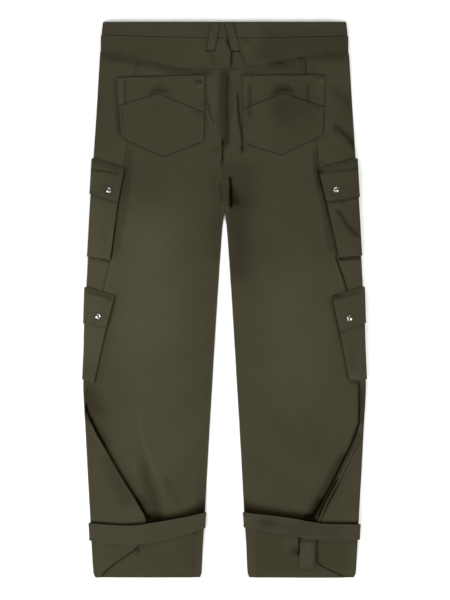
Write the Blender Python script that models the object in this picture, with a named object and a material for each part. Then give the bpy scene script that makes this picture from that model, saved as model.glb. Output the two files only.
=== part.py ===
"""Cargo pants, laid flat on their front with the back side up.

Each cut piece is a closed wall of cloth and an object of its own.  The frame is right-handed
and in metres: +X across the garment towards the wearer's right side, +Y from hem to waist and
+Z up.  The origin is under the middle of the garment, on the surface that it lies on.  Every
size below is in millimetres.  A "reach" is a distance outward from the centre line, the same
on both legs, and side is -1 for the wearer's left leg and +1 for the right one.
"""
import bisect
import math
from collections import namedtuple

import bmesh
import bpy

MM = 0.001

# ---- Lengths along the garment
WAIST_Y = 541.0
CROTCH_Y = 172.6
YOKE_ROW = 465.0          # nominal height of the yoke seam
STRAP_ROW = -445.0        # nominal middle of the ankle strap

# ---- Cloth and the gaps between pieces
CLOTH = 1.4               # one layer of twill, with its seam allowances pressed in
DOUBLE = 2.6              # a folded layer, as in the ankle pleat
BAND = 2.0                # waistband and ankle strap, folded and pressed
SEAM = 0.15               # half of the gap between two pieces at a seam
OVERLAY = 0.9             # gap under what lies on a panel
PATCH_GAP = 1.6           # gap under a back pocket

# ---- How far apart the front and the back of the garment lie
SEAM_LOFT = 0.6
EDGE_LOFT = 1.5
CROWN = 2.0
RIM_WIDTH = 60.0
RIM_SWELL = 0.4           # share of the ankle's swell that is left at the outer edge
WAIST_PRESS = 0.6         # share of the crown that is pressed flat at the waist
WAIST_PRESS_Y = 455.0
WAIST_PRESS_RAMP = 40.0
INSEAM_ROUND = 22.0
INSEAM_START_Y = 235.0    # the front and back start to close on each other above the crotch
INSEAM_RAMP = 60.0
ARC_STEPS = 5             # faces round the fold at an outer edge
FOLD_CAP = 4.0            # longest reach of that round

# ---- What lies under the front cloth and lifts it
WAIST_LIFT = 2.9          # belt loops and button
WAIST_LIFT_Y = 455.0
WAIST_LIFT_RAMP = 19.0
STRAP_LIFT = 3.0
STRAP_LIFT_HALF = 23.0    # half of the height over which the strap lifts the cloth fully
STRAP_LIFT_RAMP = 16.0
POCKET_LIFT = 4.2
POCKET_FRONT = 175.0      # reach of a cargo pocket's front edge
POCKET_CLEAR = 2.0
POCKET_MARGIN = 8.0       # lifted this far above and below a pocket
LIFT_RAMP = 18.0
FRONT_SEAM = 160.0        # reach of the seam between side and front panels
SIDE_COLUMN = 214.0       # reach of the last column before the fold at the outer edge
YOKE_COLUMN = 201.0
YOKE_MIDDLE_Y = 497.0

# ---- Ankle
Swell = namedtuple("Swell", "height clear rise fall")
BLOUSE = Swell(5.0, 4.0, 11.0, 70.0)      # of the leg, above the strap
SPRING = Swell(1.6, 3.0, 10.0, 50.0)      # of the hem, below it
PLEAT_REACH = 92.0        # the strap rises from here over the pleat
PLEAT_RAMP = 40.0
HEM_LAP_REACH = 112.0     # the back panel rises from here where it is the upper layer
HEM_LAP_RAMP = 32.0
STRAP_OUT = 3.9           # how far the strap stands out at the outer edge
STRAP_IN = 2.5            # and at the inseam
STRAP_CAP = 5.6
STRAP_INNER_CAP = 2.7
STRAP_FRONT = (75.0, 131.0, 190.0)
STRAP_RUN = (0, 0.12, 0.25, 0.37, 0.46, 0.54, 0.64, 0.76, 0.9, 1)
KEEPER_SIZE = (29.0, 54.0, 1.6)
KEEPER_TOP = (160.0, -470.0)

# ---- Cargo pockets
POCKET_OUT = 2.0
POCKET_CAP = 4.5
POCKET_STAND = 5.2        # height of the pocket's face over the panel
POCKET_SHARES = (0.35, 0.6, 0.85)         # its rows between mouth and bottom turn
GUSSET = 4.5              # width over which its bellows side turns down
FLAP_OUT = 4.0
FLAP_CAP = 5.2
FLAP_SLACK = 0.4
FLAP_TURN = 8.0
FLAP_WIDER = 1.0          # the flap's rear edge, beyond the pocket's
MOUTH_DROP = 13.0         # the pocket's mouth, below the flap's top seam

# ---- Waistband
BAND_FRONT = (0.15, 12.0, 60.0, 120.0, 180.0)
BAND_RUN = (0, 0.12, 0.3, 0.5, 0.7, 0.85, 1)
BAND_ROWS = ((0, 0.0), (0.5, 0.0), (0.9, 0.0), (1, 1.2))    # share of its height, and how far in

# ---- Belt loops, button, fly and snaps
LOOP_WIDTH = 17.0
LOOP_THICK = 1.8
LOOP_TOP = 539.0
LOOP_LENGTH = 56.0
PLAIN_LOOP_WIDTH = 14.0
PLAIN_LOOP_THICK = 2.6
PLAIN_LOOPS = {"front": 110.0, "side": 226.0}               # reach of each
FLY_WIDTH = 38.0
FLY_THICK = 1.0
FLY_ROWS = (505.0, 474.0, 455.0, 440.0, 408.0, 370.0, 345.0)
BUTTON_Y = 527.0
BUTTON_PROFILE = ((0, 2.5), (7.4, 2.5), (8.5, 1.7), (7.8, 0.3), (6.8, 0), (0, 0))
SNAP_PROFILE = ((0, 2.6), (3.6, 2.4), (5.0, 1.7), (5.5, 0.7), (5.1, 0), (0, 0))
SNAP_AROUND = (-6.0, 0.0, 6.0)                              # the cap rests on the highest of these
SNAP_STEPS = 16

LEFT, RIGHT = -1, 1
NAMES = {LEFT: "left", RIGHT: "right"}

LegRow = namedtuple("LegRow", "y outer inner")
LEG = (
    LegRow(541, 237.0, 0.2),
    LegRow(515, 239.5, 0.2),
    LegRow(467, 243.2, 0.2),
    LegRow(373, 249.0, 0.2),
    LegRow(280, 254.8, 0.2),
    LegRow(173, 260.8, 0.2),
    LegRow(143, 262.6, 4.1),
    LegRow(96, 265.2, 7.7),
    LegRow(34, 268.7, 11.9),
    LegRow(-91, 272.6, 19.8),
    LegRow(-169, 275.1, 24.4),
    LegRow(-247, 271.2, 29.1),
    LegRow(-340, 266.4, 34.3),
    LegRow(-426, 261.3, 38.9),
    LegRow(-473, 259.0, 42.0),
    LegRow(-536, 255.2, 45.2),
    LegRow(-541, 251.5, 48.0),
)

# Centre back seam, pulled aside by the folds between the pockets.
CentreRow = namedtuple("CentreRow", "y x")
CENTRE_BACK = (
    CentreRow(510, 4.5),
    CentreRow(479, 12.5),
    CentreRow(451, 12.5),
    CentreRow(435, 8.0),
    CentreRow(389, 3.0),
    CentreRow(311, 2.0),
    CentreRow(261, -7.0),
    CentreRow(213, 2.5),
    CentreRow(172.6, 0.0),
)

# Reach of the side panel's rear edge and of the back panel's outer edge.  Where they are equal
# the two meet at a seam, and where the back's is larger one lies over the other in a pleat.
SeamRow = namedtuple("SeamRow", "y side back")
SIDE_SEAM = {
    LEFT: (
        SeamRow(482, 168, 168),
        SeamRow(434, 177, 177),
        SeamRow(305, 189, 189),
        SeamRow(256, 196, 196),
        SeamRow(80, 222, 222),
        SeamRow(18, 236, 236),
        SeamRow(-80, 248, 248),
        SeamRow(-163, 257, 257),
        SeamRow(-232, 261, 261),
        SeamRow(-248, 256, 261),
        SeamRow(-293, 231.5, 254),
        SeamRow(-345, 201.4, 226),
        SeamRow(-389, 174, 199),
        SeamRow(-427, 153.5, 176),
        SeamRow(-450, 151, 172),
        SeamRow(-480, 171.6, 192),
        SeamRow(-515, 217.8, 234),
        SeamRow(-536, 240, 247),
        SeamRow(-541, 243, 247),
    ),
    RIGHT: (
        SeamRow(482, 156, 156),
        SeamRow(434, 158, 158),
        SeamRow(305, 178.5, 178.5),
        SeamRow(256, 184, 184),
        SeamRow(80, 218, 218),
        SeamRow(18, 238, 238),
        SeamRow(-80, 248, 248),
        SeamRow(-163, 257, 257),
        SeamRow(-236, 261, 261),
        SeamRow(-280, 247.5, 262),
        SeamRow(-313, 231, 252),
        SeamRow(-356, 208.7, 232),
        SeamRow(-395, 187, 208),
        SeamRow(-424, 176, 186),
        SeamRow(-432, 172, 172),
        SeamRow(-467, 176, 176),
        SeamRow(-478, 158, 177),
        SeamRow(-508, 158, 177),
        SeamRow(-541, 214, 232),
    ),
}

# How far the side panel, and then the back panel, is raised to lie over the other: 0 to 1.
LapRow = namedtuple("LapRow", "y side back")
LAP = {
    LEFT: (
        LapRow(-190, 0, 0),
        LapRow(-230, 1, 0),
        LapRow(-541, 1, 0),
    ),
    RIGHT: (
        LapRow(-190, 0, 0),
        LapRow(-230, 1, 0),
        LapRow(-434, 1, 0),
        LapRow(-446, 0, 0),
        LapRow(-460, 0, 1),
        LapRow(-541, 0, 1),
    ),
}

# Middle of the centre back loops' ends.
LoopEnds = namedtuple("LoopEnds", "top_x bottom_x")
BACK_LOOPS = {LEFT: LoopEnds(-17.7, -28.0), RIGHT: LoopEnds(8.0, 21.5)}

SpanRow = namedtuple("SpanRow", "x y")
YOKE_SEAM = (
    SpanRow(-242, 482.6),
    SpanRow(-168, 468),
    SpanRow(-68, 448.3),
    SpanRow(6, 448.5),
    SpanRow(82, 454.7),
    SpanRow(136, 467),
    SpanRow(181, 472.7),
    SpanRow(242, 479),
)
WAIST_SEAM = (
    SpanRow(-242, 515),
    SpanRow(0, 509.5),
    SpanRow(242, 513),
)

StrapRow = namedtuple("StrapRow", "reach middle half")
STRAP = {
    LEFT: (
        StrapRow(36, -428.6, 14.8),
        StrapRow(75, -439.3, 17.0),
        StrapRow(131, -450.8, 19.0),
        StrapRow(185, -457.5, 19.0),
        StrapRow(264, -451.5, 17.0),
    ),
    RIGHT: (
        StrapRow(36, -428.2, 14.5),
        StrapRow(130, -441.5, 17.0),
        StrapRow(195, -450.5, 15.5),
        StrapRow(264, -452.0, 15.0),
    ),
}

# The largest folds: a ridge of cloth from one point to another.
Fold = namedtuple("Fold", "x0 y0 x1 y1 width height")
FOLDS = (
    Fold(-26, 452, -20, 318, 9, 3.4),     # left of the centre back seam
    Fold(16, 446, 19, 300, 8, 3.2),       # right of it
    Fold(3, 272, 1, 176, 7, 3.0),         # along the seam, down to the crotch
    Fold(203, 352, 250, 268, 12, 2.2),    # at the right hip
    Fold(-168, -195, -96, -412, 15, 3.0),  # down the left calf
    Fold(-64, -60, -52, -330, 22, 1.6),   # inside of the left leg
    Fold(58, 120, 72, -160, 24, 1.5),     # inside of the right leg
    Fold(96, -190, 88, -410, 20, 2.0),    # right calf
)

# A back pocket's three vertical lines: nearest the centre, through its tip, and outermost.
PatchLine = namedtuple("PatchLine", "top_x top_y chevron_x chevron_y bottom_x bottom_y")
BACK_POCKET = {
    LEFT: (
        PatchLine(-38, 437, -39.2, 363.5, -40.6, 309),
        PatchLine(-122, 434.5, -128.9, 401, -119, 279),
        PatchLine(-210.6, 432, -207.3, 377.5, -200.9, 315),
    ),
    RIGHT: (
        PatchLine(34.3, 436, 35.6, 371, 37.6, 305),
        PatchLine(114, 436.6, 114.1, 402.7, 110.4, 282.6),
        PatchLine(195.4, 437, 193.4, 375, 191.1, 321),
    ),
}
PATCH_STEPS = 4           # columns between two of those lines

# Cargo pockets: heights at the outer edge, and (reach, y) of the rear corners.
Cargo = namedtuple("Cargo", "place side top flap bottom top_corner flap_corner bottom_corner snap")
CARGO = (
    Cargo("upper", LEFT, 275, 206, 84, (195, 255.5), (207.7, 188.2), (222.3, 77), (224.8, 212)),
    Cargo("upper", RIGHT, 275, 200, 86, (182.3, 255.5), (198.3, 190.5), (222.7, 81.7), (216.3, 213)),
    Cargo("lower", LEFT, 24.5, -45.4, -155, (214.1, 7.4), (230.1, -53.6), (254, -162.8), (246, -32.8)),
    Cargo("lower", RIGHT, 25.4, -45.4, -154.4, (209.8, 6.8), (224.6, -63.4), (242, -156), (242.4, -36.7)),
)
POCKET_SPANS = ((77, 275), (-163, 25))    # lowest and highest y of the pockets

# ---- Rows and columns of the cloth grids
ROWS = (465, 440, 408, 370, 335, 301, 283, 255, 228, 200, 172.6, 143, 105, 69, 51, 33, -5, -60,
        -118, -171, -189, -212, -232, -252, -285, -322, -360, -388, -404, -413, -419, -425, -434,
        -446, -461, -476, -495, -520, -536, -541)
ROW_BEND = (301.0, 465.0)  # rows bend more and more with the yoke seam between these
ANKLE_BEND = 80.0         # and with the strap over this height
ANKLE_START_Y = -310.0
HEM_BEND = 45.0
FRONT_TOP_ROWS = (474, 455)
FRONT_JOIN = 440          # the front panel shares the rows from here down
BACK_COLUMNS = (0, 0.035, 0.075, 0.12, 0.17, 0.25, 0.37, 0.5, 0.64, 0.78, 0.9, 1)
FRONT_COLUMNS = (0, 0.12, 0.55)
TOP_RUN = (0, 0.12, 0.4, 0.72, 1)
YOKE_ROWS = (0, 0.12, 0.42, 1)
WRAP_RUN = (0, 0.3, 0.6, 0.85, 1)

OLIVE = (0.058, 0.053, 0.031)
OLIVE_DARK = (0.050, 0.046, 0.027)
SILVER = (0.62, 0.60, 0.56)


# ---- Curves and surfaces ----------------------------------------------------------------

def smooth(value):
    """Ease a value from 0 to 1, held at both ends."""
    held = min(max(value, 0.0), 1.0)
    return held * held * (3.0 - 2.0 * held)


def mix(start, end, share):
    """Value at a share of the way from start to end."""
    return start + (end - start) * share


def read(table, column, at):
    """Value of a table's named column at a value of its first one, on a curve with no overshoot."""
    rows = sorted(table)
    keys = [row[0] for row in rows]
    values = [getattr(row, column) for row in rows]
    held = min(max(at, keys[0]), keys[-1])
    first = min(max(bisect.bisect_right(keys, held) - 1, 0), len(keys) - 2)
    slopes = [(values[k + 1] - values[k]) / (keys[k + 1] - keys[k]) for k in range(len(keys) - 1)]

    def tangent(k):
        if k in (0, len(keys) - 1):
            return slopes[min(k, len(slopes) - 1)]
        before, after = slopes[k - 1], slopes[k]
        return 2.0 * before * after / (before + after) if before * after > 0 else 0.0

    span = keys[first + 1] - keys[first]
    t = (held - keys[first]) / span
    ease = t * t * (3.0 - 2.0 * t)
    bend = t * (1.0 - t) * ((1.0 - t) * tangent(first) - t * tangent(first + 1)) * span
    return mix(values[first], values[first + 1], ease) + bend


def outer_edge(y):
    """Reach of the leg's outer edge."""
    return read(LEG, "outer", y)


def inner_edge(y):
    """Reach of the inseam."""
    return read(LEG, "inner", y)


def yoke_seam(x):
    """Height of the seam between yoke and panels."""
    return read(YOKE_SEAM, "y", x)


def waist_seam(x):
    """Height of the seam under the waistband."""
    return read(WAIST_SEAM, "y", x)


def side_of(x):
    """Leg that a point belongs to."""
    return LEFT if x < 0 else RIGHT


def strap_middle(x):
    """Height of the strap's middle line."""
    return read(STRAP[side_of(x)], "middle", abs(x))


def strap_half(x):
    """Half of the strap's width."""
    return read(STRAP[side_of(x)], "half", abs(x))


def lap(side, y, piece):
    """How far the named piece is raised over the other one in the pleat, 0 to 1."""
    rows = LAP[side]
    for upper, lower in zip(rows, rows[1:]):
        if upper.y >= y >= lower.y:
            share = (upper.y - y) / (upper.y - lower.y)
            return mix(getattr(upper, piece), getattr(lower, piece), share)
    return 0.0


def cloth_y(x, row, top=None):
    """Height of a cloth row at x: rows bend with the yoke seam above and the strap below."""
    top_y = yoke_seam(x) if top is None else top
    waist_pull = (top_y - YOKE_ROW) * smooth((row - ROW_BEND[0]) / (ROW_BEND[1] - ROW_BEND[0]))
    ankle_pull = smooth((ANKLE_START_Y - row) / ANKLE_BEND) * smooth((row - ROWS[-1]) / HEM_BEND)
    return row + waist_pull + (strap_middle(x) - STRAP_ROW) * ankle_pull


def lift(x, y):
    """Height of the front cloth over the floor, raised by what lies under it."""
    waist = WAIST_LIFT * smooth((y - WAIST_LIFT_Y) / WAIST_LIFT_RAMP)
    from_strap = abs(y - strap_middle(x)) - STRAP_LIFT_HALF
    strap = STRAP_LIFT * smooth(1.0 - from_strap / STRAP_LIFT_RAMP)
    outward = smooth((abs(x) - POCKET_FRONT + POCKET_CLEAR + LIFT_RAMP) / LIFT_RAMP)
    pocket = 0.0
    for low, high in POCKET_SPANS:
        beyond = max(low - y, y - high) - POCKET_MARGIN
        pocket = max(pocket, POCKET_LIFT * outward * smooth(1.0 - beyond / LIFT_RAMP))
    return max(waist, strap, pocket)


def fold_height(x, y):
    """Height that the folds add to the upper cloth."""
    total = 0.0
    for fold in FOLDS:
        run_x, run_y = fold.x1 - fold.x0, fold.y1 - fold.y0
        length = math.hypot(run_x, run_y)
        along = ((x - fold.x0) * run_x + (y - fold.y0) * run_y) / length
        across = ((x - fold.x0) * run_y - (y - fold.y0) * run_x) / length
        taper = smooth(along / length * 4.0) * smooth((1.0 - along / length) * 4.0)
        total += fold.height * taper * math.exp(-(across / fold.width) ** 2)
    return total


def swell_height(swell, distance):
    """Height of a swell of cloth at a distance from the strap's edge."""
    rising = smooth((distance - swell.clear) / swell.rise)
    falling = 1.0 - smooth((distance - swell.clear - swell.rise) / swell.fall)
    return swell.height * rising * falling


def ankle_swell(x, y):
    """Height that the cloth gains above and below the ankle strap."""
    above = y - strap_middle(x) - strap_half(x)
    below = -above - 2.0 * strap_half(x)
    return swell_height(BLOUSE, above) + swell_height(SPRING, below)


def cloth_top(x, y):
    """Height of the back cloth's upper face."""
    reach = abs(x)
    rim = smooth((outer_edge(y) - reach) / RIM_WIDTH)
    in_leg = smooth((INSEAM_START_Y - y) / INSEAM_RAMP)
    turned = smooth((reach - inner_edge(y)) / INSEAM_ROUND)
    fullness = 1.0 - in_leg * (1.0 - turned)
    crown = CROWN * rim * (1.0 - WAIST_PRESS * smooth((y - WAIST_PRESS_Y) / WAIST_PRESS_RAMP))
    swell = ankle_swell(x, y) * mix(RIM_SWELL, 1.0, rim)
    loft = SEAM_LOFT + (EDGE_LOFT - SEAM_LOFT + crown + swell) * fullness
    return lift(x, y) + 2.0 * CLOTH + loft + fold_height(x, y)


# ---- Meshes -----------------------------------------------------------------------------

def finish(bm, name, material):
    """Turn a bmesh in millimetres into a named object in metres, with its faces outward."""
    bmesh.ops.scale(bm, vec=(MM, MM, MM), verts=bm.verts)
    bmesh.ops.recalc_face_normals(bm, faces=bm.faces)
    mesh = bpy.data.meshes.new(name)
    bm.to_mesh(mesh)
    bm.free()
    mesh.materials.append(material)
    mesh.shade_smooth()
    mesh.set_sharp_from_angle(angle=math.radians(50.0))
    piece = bpy.data.objects.new(name, mesh)
    bpy.context.scene.collection.objects.link(piece)
    return piece


def wall(name, outside, inside, material, ring=False):
    """Closed wall between two grids of points, row by row; a ring joins its last column on."""
    bm = bmesh.new()
    outer = [[bm.verts.new(point) for point in row] for row in outside]
    inner = [[bm.verts.new(point) for point in row] for row in inside]
    rows = len(outer)
    columns = len(outer[0])

    def quad(a, b, c, d):
        bm.faces.new((a, b, c))
        bm.faces.new((a, c, d))

    for j in range(columns if ring else columns - 1):
        k = (j + 1) % columns
        for i in range(rows - 1):
            quad(outer[i][j], outer[i][k], outer[i + 1][k], outer[i + 1][j])
            quad(inner[i][j], inner[i + 1][j], inner[i + 1][k], inner[i][k])
        quad(outer[0][k], outer[0][j], inner[0][j], inner[0][k])
        quad(outer[-1][j], outer[-1][k], inner[-1][k], inner[-1][j])
    if not ring:
        for i in range(rows - 1):
            quad(outer[i][0], outer[i + 1][0], inner[i + 1][0], inner[i][0])
            quad(outer[i + 1][-1], outer[i][-1], inner[i][-1], inner[i + 1][-1])
    return finish(bm, name, material)


def sheet(name, points, under, thickness, material):
    """Wall over a grid of (x, y) points, its lower face at under(x, y)."""
    lower = [[(x, y, under(x, y)) for x, y in row] for row in points]
    upper = [[(x, y, z + thickness) for x, y, z in row] for row in lower]
    return wall(name, upper, lower, material)


def turned_solid(name, profile, place, material):
    """Solid of revolution: (radius, height) points turned about a vertical axis at place."""
    bm = bmesh.new()
    x, y, z = place
    line = [bm.verts.new((x + radius, y, z + height)) for radius, height in profile]
    edges = [bm.edges.new(pair) for pair in zip(line, line[1:])]
    bmesh.ops.spin(bm, geom=line + edges, cent=place, axis=(0, 0, 1), angle=2.0 * math.pi,
                   steps=SNAP_STEPS, use_merge=True)
    bmesh.ops.remove_doubles(bm, verts=bm.verts, dist=0.001)
    return finish(bm, name, material)


def edge_turn(edge, low, high, cap, wall_low, wall_high):
    """Round of a wall at a folded edge: the reach where it starts, and its outer and inner points."""
    half = (high - low) / 2.0
    reach = min(half, cap)
    outer, inner = [], []
    for step in range(1, ARC_STEPS):
        angle = math.pi * (step / ARC_STEPS - 0.5)
        thick = mix(wall_low, wall_high, step / ARC_STEPS)
        across, up = math.cos(angle), math.sin(angle)
        outer.append((edge - reach + reach * across, low + half + half * up))
        inner.append((edge - reach + (reach - thick) * across, low + half + (half - thick) * up))
    return edge - reach, outer, inner


def wrapped_row(side, front, edge, cap, end, shares, low, high, walls, front_y, rear_y):
    """One row of a wall that wraps the outer edge, from its front edge round to its rear one."""
    turn_y = front_y(side * edge)
    floor, roof = low(side * edge, turn_y), high(side * edge, turn_y)
    start, outer_arc, inner_arc = edge_turn(edge, floor, roof, cap, *walls)
    outer, inner = [], []
    for reach in (*front, start):
        x = side * reach
        y = front_y(x)
        z = low(x, y)
        outer.append((x, y, z))
        inner.append((x, y, z + walls[0]))
    outer += [(side * reach, turn_y, z) for reach, z in outer_arc]
    inner += [(side * reach, turn_y, z) for reach, z in inner_arc]
    for share in shares:
        x = side * mix(start, end, share)
        y = rear_y(x, share)
        z = high(x, y)
        outer.append((x, y, z))
        inner.append((x, y, z - walls[1]))
    return outer, inner


def settled(edge, row, top=None):
    """Point (x, y) where a cloth row meets an edge given as x at each y."""
    y = row
    for _ in range(4):
        x = edge(y)
        y = cloth_y(x, row, top)
    return x, y


# ---- Panels -----------------------------------------------------------------------------

def centre_edge(side, y):
    """x of a back panel's or yoke's inner edge: centre back seam, then inseam."""
    if y >= CROTCH_Y:
        return read(CENTRE_BACK, "x", y) + side * SEAM
    return side * max(inner_edge(y), SEAM)


def side_edge(side, y):
    """x of the side panel's rear edge."""
    return side * (read(SIDE_SEAM[side], "side", y) + SEAM)


def back_edge(side, y):
    """x of the back panel's outer edge."""
    return side * (read(SIDE_SEAM[side], "back", y) - SEAM)


def back_row_points(side, row):
    """(x, y) points of one row of a back panel, from the centre outward."""
    near_x, _ = settled(lambda y: centre_edge(side, y), row)
    far_x, _ = settled(lambda y: back_edge(side, y), row)
    columns = [mix(near_x, far_x, share) for share in BACK_COLUMNS]
    return [(x, cloth_y(x, row)) for x in columns]


def back_under(side, x, y):
    """Height of a back panel's lower face, raised where it lies over the side panel."""
    hem_lap = smooth((abs(x) - HEM_LAP_REACH) / HEM_LAP_RAMP) * lap(side, y, "back")
    return cloth_top(x, y) - CLOTH + (CLOTH + OVERLAY) * hem_lap


def make_back(side, material):
    """Back panel, from the yoke seam to the hem."""
    points = [back_row_points(side, row) for row in ROWS]
    return sheet("back_" + NAMES[side], points, lambda x, y: back_under(side, x, y), CLOTH, material)


def make_front(side, material):
    """Front panel, flat on the floor but for what lifts it."""
    def inner_x(y):
        return side * max(inner_edge(y) if y < CROTCH_Y else 0.0, SEAM)

    points = []
    for row in (WAIST_Y, *FRONT_TOP_ROWS, *(row for row in ROWS if row <= FRONT_JOIN)):
        near_x, _ = settled(inner_x, row, YOKE_ROW)
        bend_x = side * (POCKET_FRONT - LIFT_RAMP - POCKET_CLEAR)
        columns = [mix(near_x, bend_x, share) for share in FRONT_COLUMNS]
        columns += [bend_x, side * (FRONT_SEAM - SEAM)]
        if row == WAIST_Y:
            points.append([(x, waist_seam(x) - SEAM) for x in columns])
        else:
            points.append([(x, cloth_y(x, row, YOKE_ROW)) for x in columns])
    return sheet("front_" + NAMES[side], points, lift, CLOTH, material)


def make_side(side, material):
    """Side panel, from its front seam round the outer edge to the back seam or the pleat."""
    top = yoke_seam(side * outer_edge(YOKE_ROW))
    outside, inside = [], []
    for row in ROWS:
        edge = outer_edge(settled(lambda y: side * outer_edge(y), row, top)[1])
        end_x, end_y = settled(lambda y: side_edge(side, y), row)
        raised = lap(side, end_y, "side")
        over = mix(0.0, DOUBLE + OVERLAY, raised)
        rear_wall = mix(CLOTH, DOUBLE, raised)
        front = (FRONT_SEAM + SEAM, POCKET_FRONT - POCKET_CLEAR, SIDE_COLUMN)
        outer, inner = wrapped_row(
            side, front, edge, FOLD_CAP, abs(end_x), TOP_RUN,
            lift, lambda x, y, over=over: cloth_top(x, y) + over, (CLOTH, rear_wall),
            lambda x, row=row: cloth_y(x, row, top), lambda x, _, row=row: cloth_y(x, row))
        outside.append(outer)
        inside.append(inner)
    return wall("side_" + NAMES[side], outside, inside, material)


def make_yoke(side, material):
    """Yoke, from the centre back seam round the outer edge to the front seam."""
    panel_reaches = [side * x for x, _ in reversed(back_row_points(side, YOKE_ROW))]
    edge = outer_edge(YOKE_MIDDLE_Y)
    edge_x = side * edge
    start = edge - (cloth_top(edge_x, YOKE_MIDDLE_Y) - lift(edge_x, YOKE_MIDDLE_Y)) / 2.0
    reaches = [mix(start, panel_reaches[0], share) for share in TOP_RUN[:-1]] + panel_reaches
    shares = [(start - reach) / (start - panel_reaches[-1]) for reach in reaches]
    outside, inside = [], []
    for level in YOKE_ROWS:
        def level_y(x, seam_x, level=level):
            return mix(yoke_seam(seam_x) + 2.0 * SEAM, waist_seam(x) - SEAM, level)

        near_x = side * panel_reaches[-1]
        end = side * centre_edge(side, level_y(near_x, near_x))
        outer, inner = wrapped_row(
            side, (FRONT_SEAM + SEAM, YOKE_COLUMN), edge, FOLD_CAP, end, shares, lift, cloth_top,
            (CLOTH, CLOTH), lambda x: level_y(x, edge_x), lambda x, _: level_y(x, x))
        outside.append(outer)
        inside.append(inner)
    return wall("yoke_" + NAMES[side], outside, inside, material)


def make_waistband(material):
    """Waistband, a folded band round the whole waist that closes at the centre front."""
    outside, inside = [], []
    for level, shrink in BAND_ROWS:
        def band_y(x, level=level):
            return mix(waist_seam(x) + 2.0 * SEAM, WAIST_Y, level)

        halves = {}
        for side in (LEFT, RIGHT):
            edge = outer_edge(band_y(side * outer_edge(WAIST_Y))) - shrink
            halves[side] = wrapped_row(
                side, BAND_FRONT, edge, FOLD_CAP, 0.0, BAND_RUN, lift,
                lambda x, y: cloth_top(x, y) + FLAP_SLACK, (BAND, BAND),
                band_y, lambda x, _: band_y(x))
        outside.append(halves[LEFT][0] + halves[RIGHT][0][-2::-1])
        inside.append(halves[LEFT][1] + halves[RIGHT][1][-2::-1])
    return wall("waistband", outside, inside, material)


# ---- Patch pockets and belt loops -------------------------------------------------------

def patch_lines(side):
    """A back pocket's vertical lines, with as many between its three corners as it needs."""
    lines = BACK_POCKET[side]
    spread = [PatchLine(*(mix(a, b, step / PATCH_STEPS) for a, b in zip(start, end)))
              for start, end in zip(lines, lines[1:]) for step in range(PATCH_STEPS)]
    return spread + [lines[-1]]


def make_back_pocket(side, material):
    """Back patch pocket, cut in two at its chevron seam."""
    def on_back(x, y):
        return cloth_top(x, y) + PATCH_GAP

    lines = patch_lines(side)
    upper = [[(mix(line.top_x, line.chevron_x, share),
               mix(line.top_y, line.chevron_y + SEAM, share)) for line in lines]
             for share in (0, 0.5, 1)]
    lower = [[(mix(line.chevron_x, line.bottom_x, share),
               mix(line.chevron_y - SEAM, line.bottom_y, share)) for line in lines]
             for share in (0, 0.33, 0.67, 1)]
    sheet("back_pocket_upper_" + NAMES[side], upper, on_back, CLOTH, material)
    sheet("back_pocket_lower_" + NAMES[side], lower, on_back, CLOTH, material)


def strip(top, bottom, width, steps):
    """Grid of (x, y) points for a straight strip, its ends given by their middles."""
    rows = []
    for step in range(steps + 1):
        x = mix(top[0], bottom[0], step / steps)
        y = mix(top[1], bottom[1], step / steps)
        rows.append([(x - width / 2.0, y), (x, y), (x + width / 2.0, y)])
    return rows


def make_belt_loops(material):
    """Belt loops: an inverted V at the centre back, and plain ones at the sides and front."""
    def on_waistband(x, y):
        return cloth_top(x, y) + FLAP_SLACK + OVERLAY

    foot = LOOP_TOP - LOOP_LENGTH
    for side in (LEFT, RIGHT):
        ends = BACK_LOOPS[side]
        points = strip((ends.top_x, LOOP_TOP), (ends.bottom_x, foot), LOOP_WIDTH, 5)
        sheet("belt_loop_back_" + NAMES[side], points, on_waistband, LOOP_THICK, material)
        for place, reach in PLAIN_LOOPS.items():
            middle = side * reach
            points = strip((middle, LOOP_TOP), (middle, foot), PLAIN_LOOP_WIDTH, 2)
            sheet("belt_loop_" + place + "_" + NAMES[side], points, lambda x, y: 0.0,
                  PLAIN_LOOP_THICK, material)


def make_fly(material):
    """Fly placket, flat on the inside of the front at its centre seam."""
    columns = (-FLY_WIDTH / 2.0, 0.0, FLY_WIDTH / 2.0)
    points = [[(x, y) for x in columns] for y in FLY_ROWS]
    sheet("fly_placket", points, lambda x, y: lift(x, y) + CLOTH + 2.0 * SEAM, FLY_THICK, material)


# ---- Cargo pockets ----------------------------------------------------------------------

def cargo_corner(cargo, share):
    """(reach, y) on the pocket's rear edge, from its top seam at 0 to its bottom at 1."""
    flap_share = (cargo.top - cargo.flap) / (cargo.top - cargo.bottom)
    if share <= flap_share:
        part = share / flap_share
        return [mix(a, b, part) for a, b in zip(cargo.top_corner, cargo.flap_corner)]
    part = (share - flap_share) / (1.0 - flap_share)
    return [mix(a, b, part) for a, b in zip(cargo.flap_corner, cargo.bottom_corner)]


def cargo_row(cargo, share, out, cap, shares, low, high, inset=0.0):
    """Row of a cargo pocket or flap at a share of its height, as a wrapped row."""
    edge_y = mix(cargo.top, cargo.bottom, share)
    reach, corner_y = cargo_corner(cargo, share)
    edge = outer_edge(edge_y) + out

    def rear_y(x, part):
        return mix(edge_y, corner_y, part)

    return wrapped_row(cargo.side, (POCKET_FRONT, SIDE_COLUMN), edge, cap, reach + inset, shares,
                       low, high, (CLOTH, CLOTH), lambda x: edge_y, rear_y)


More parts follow.
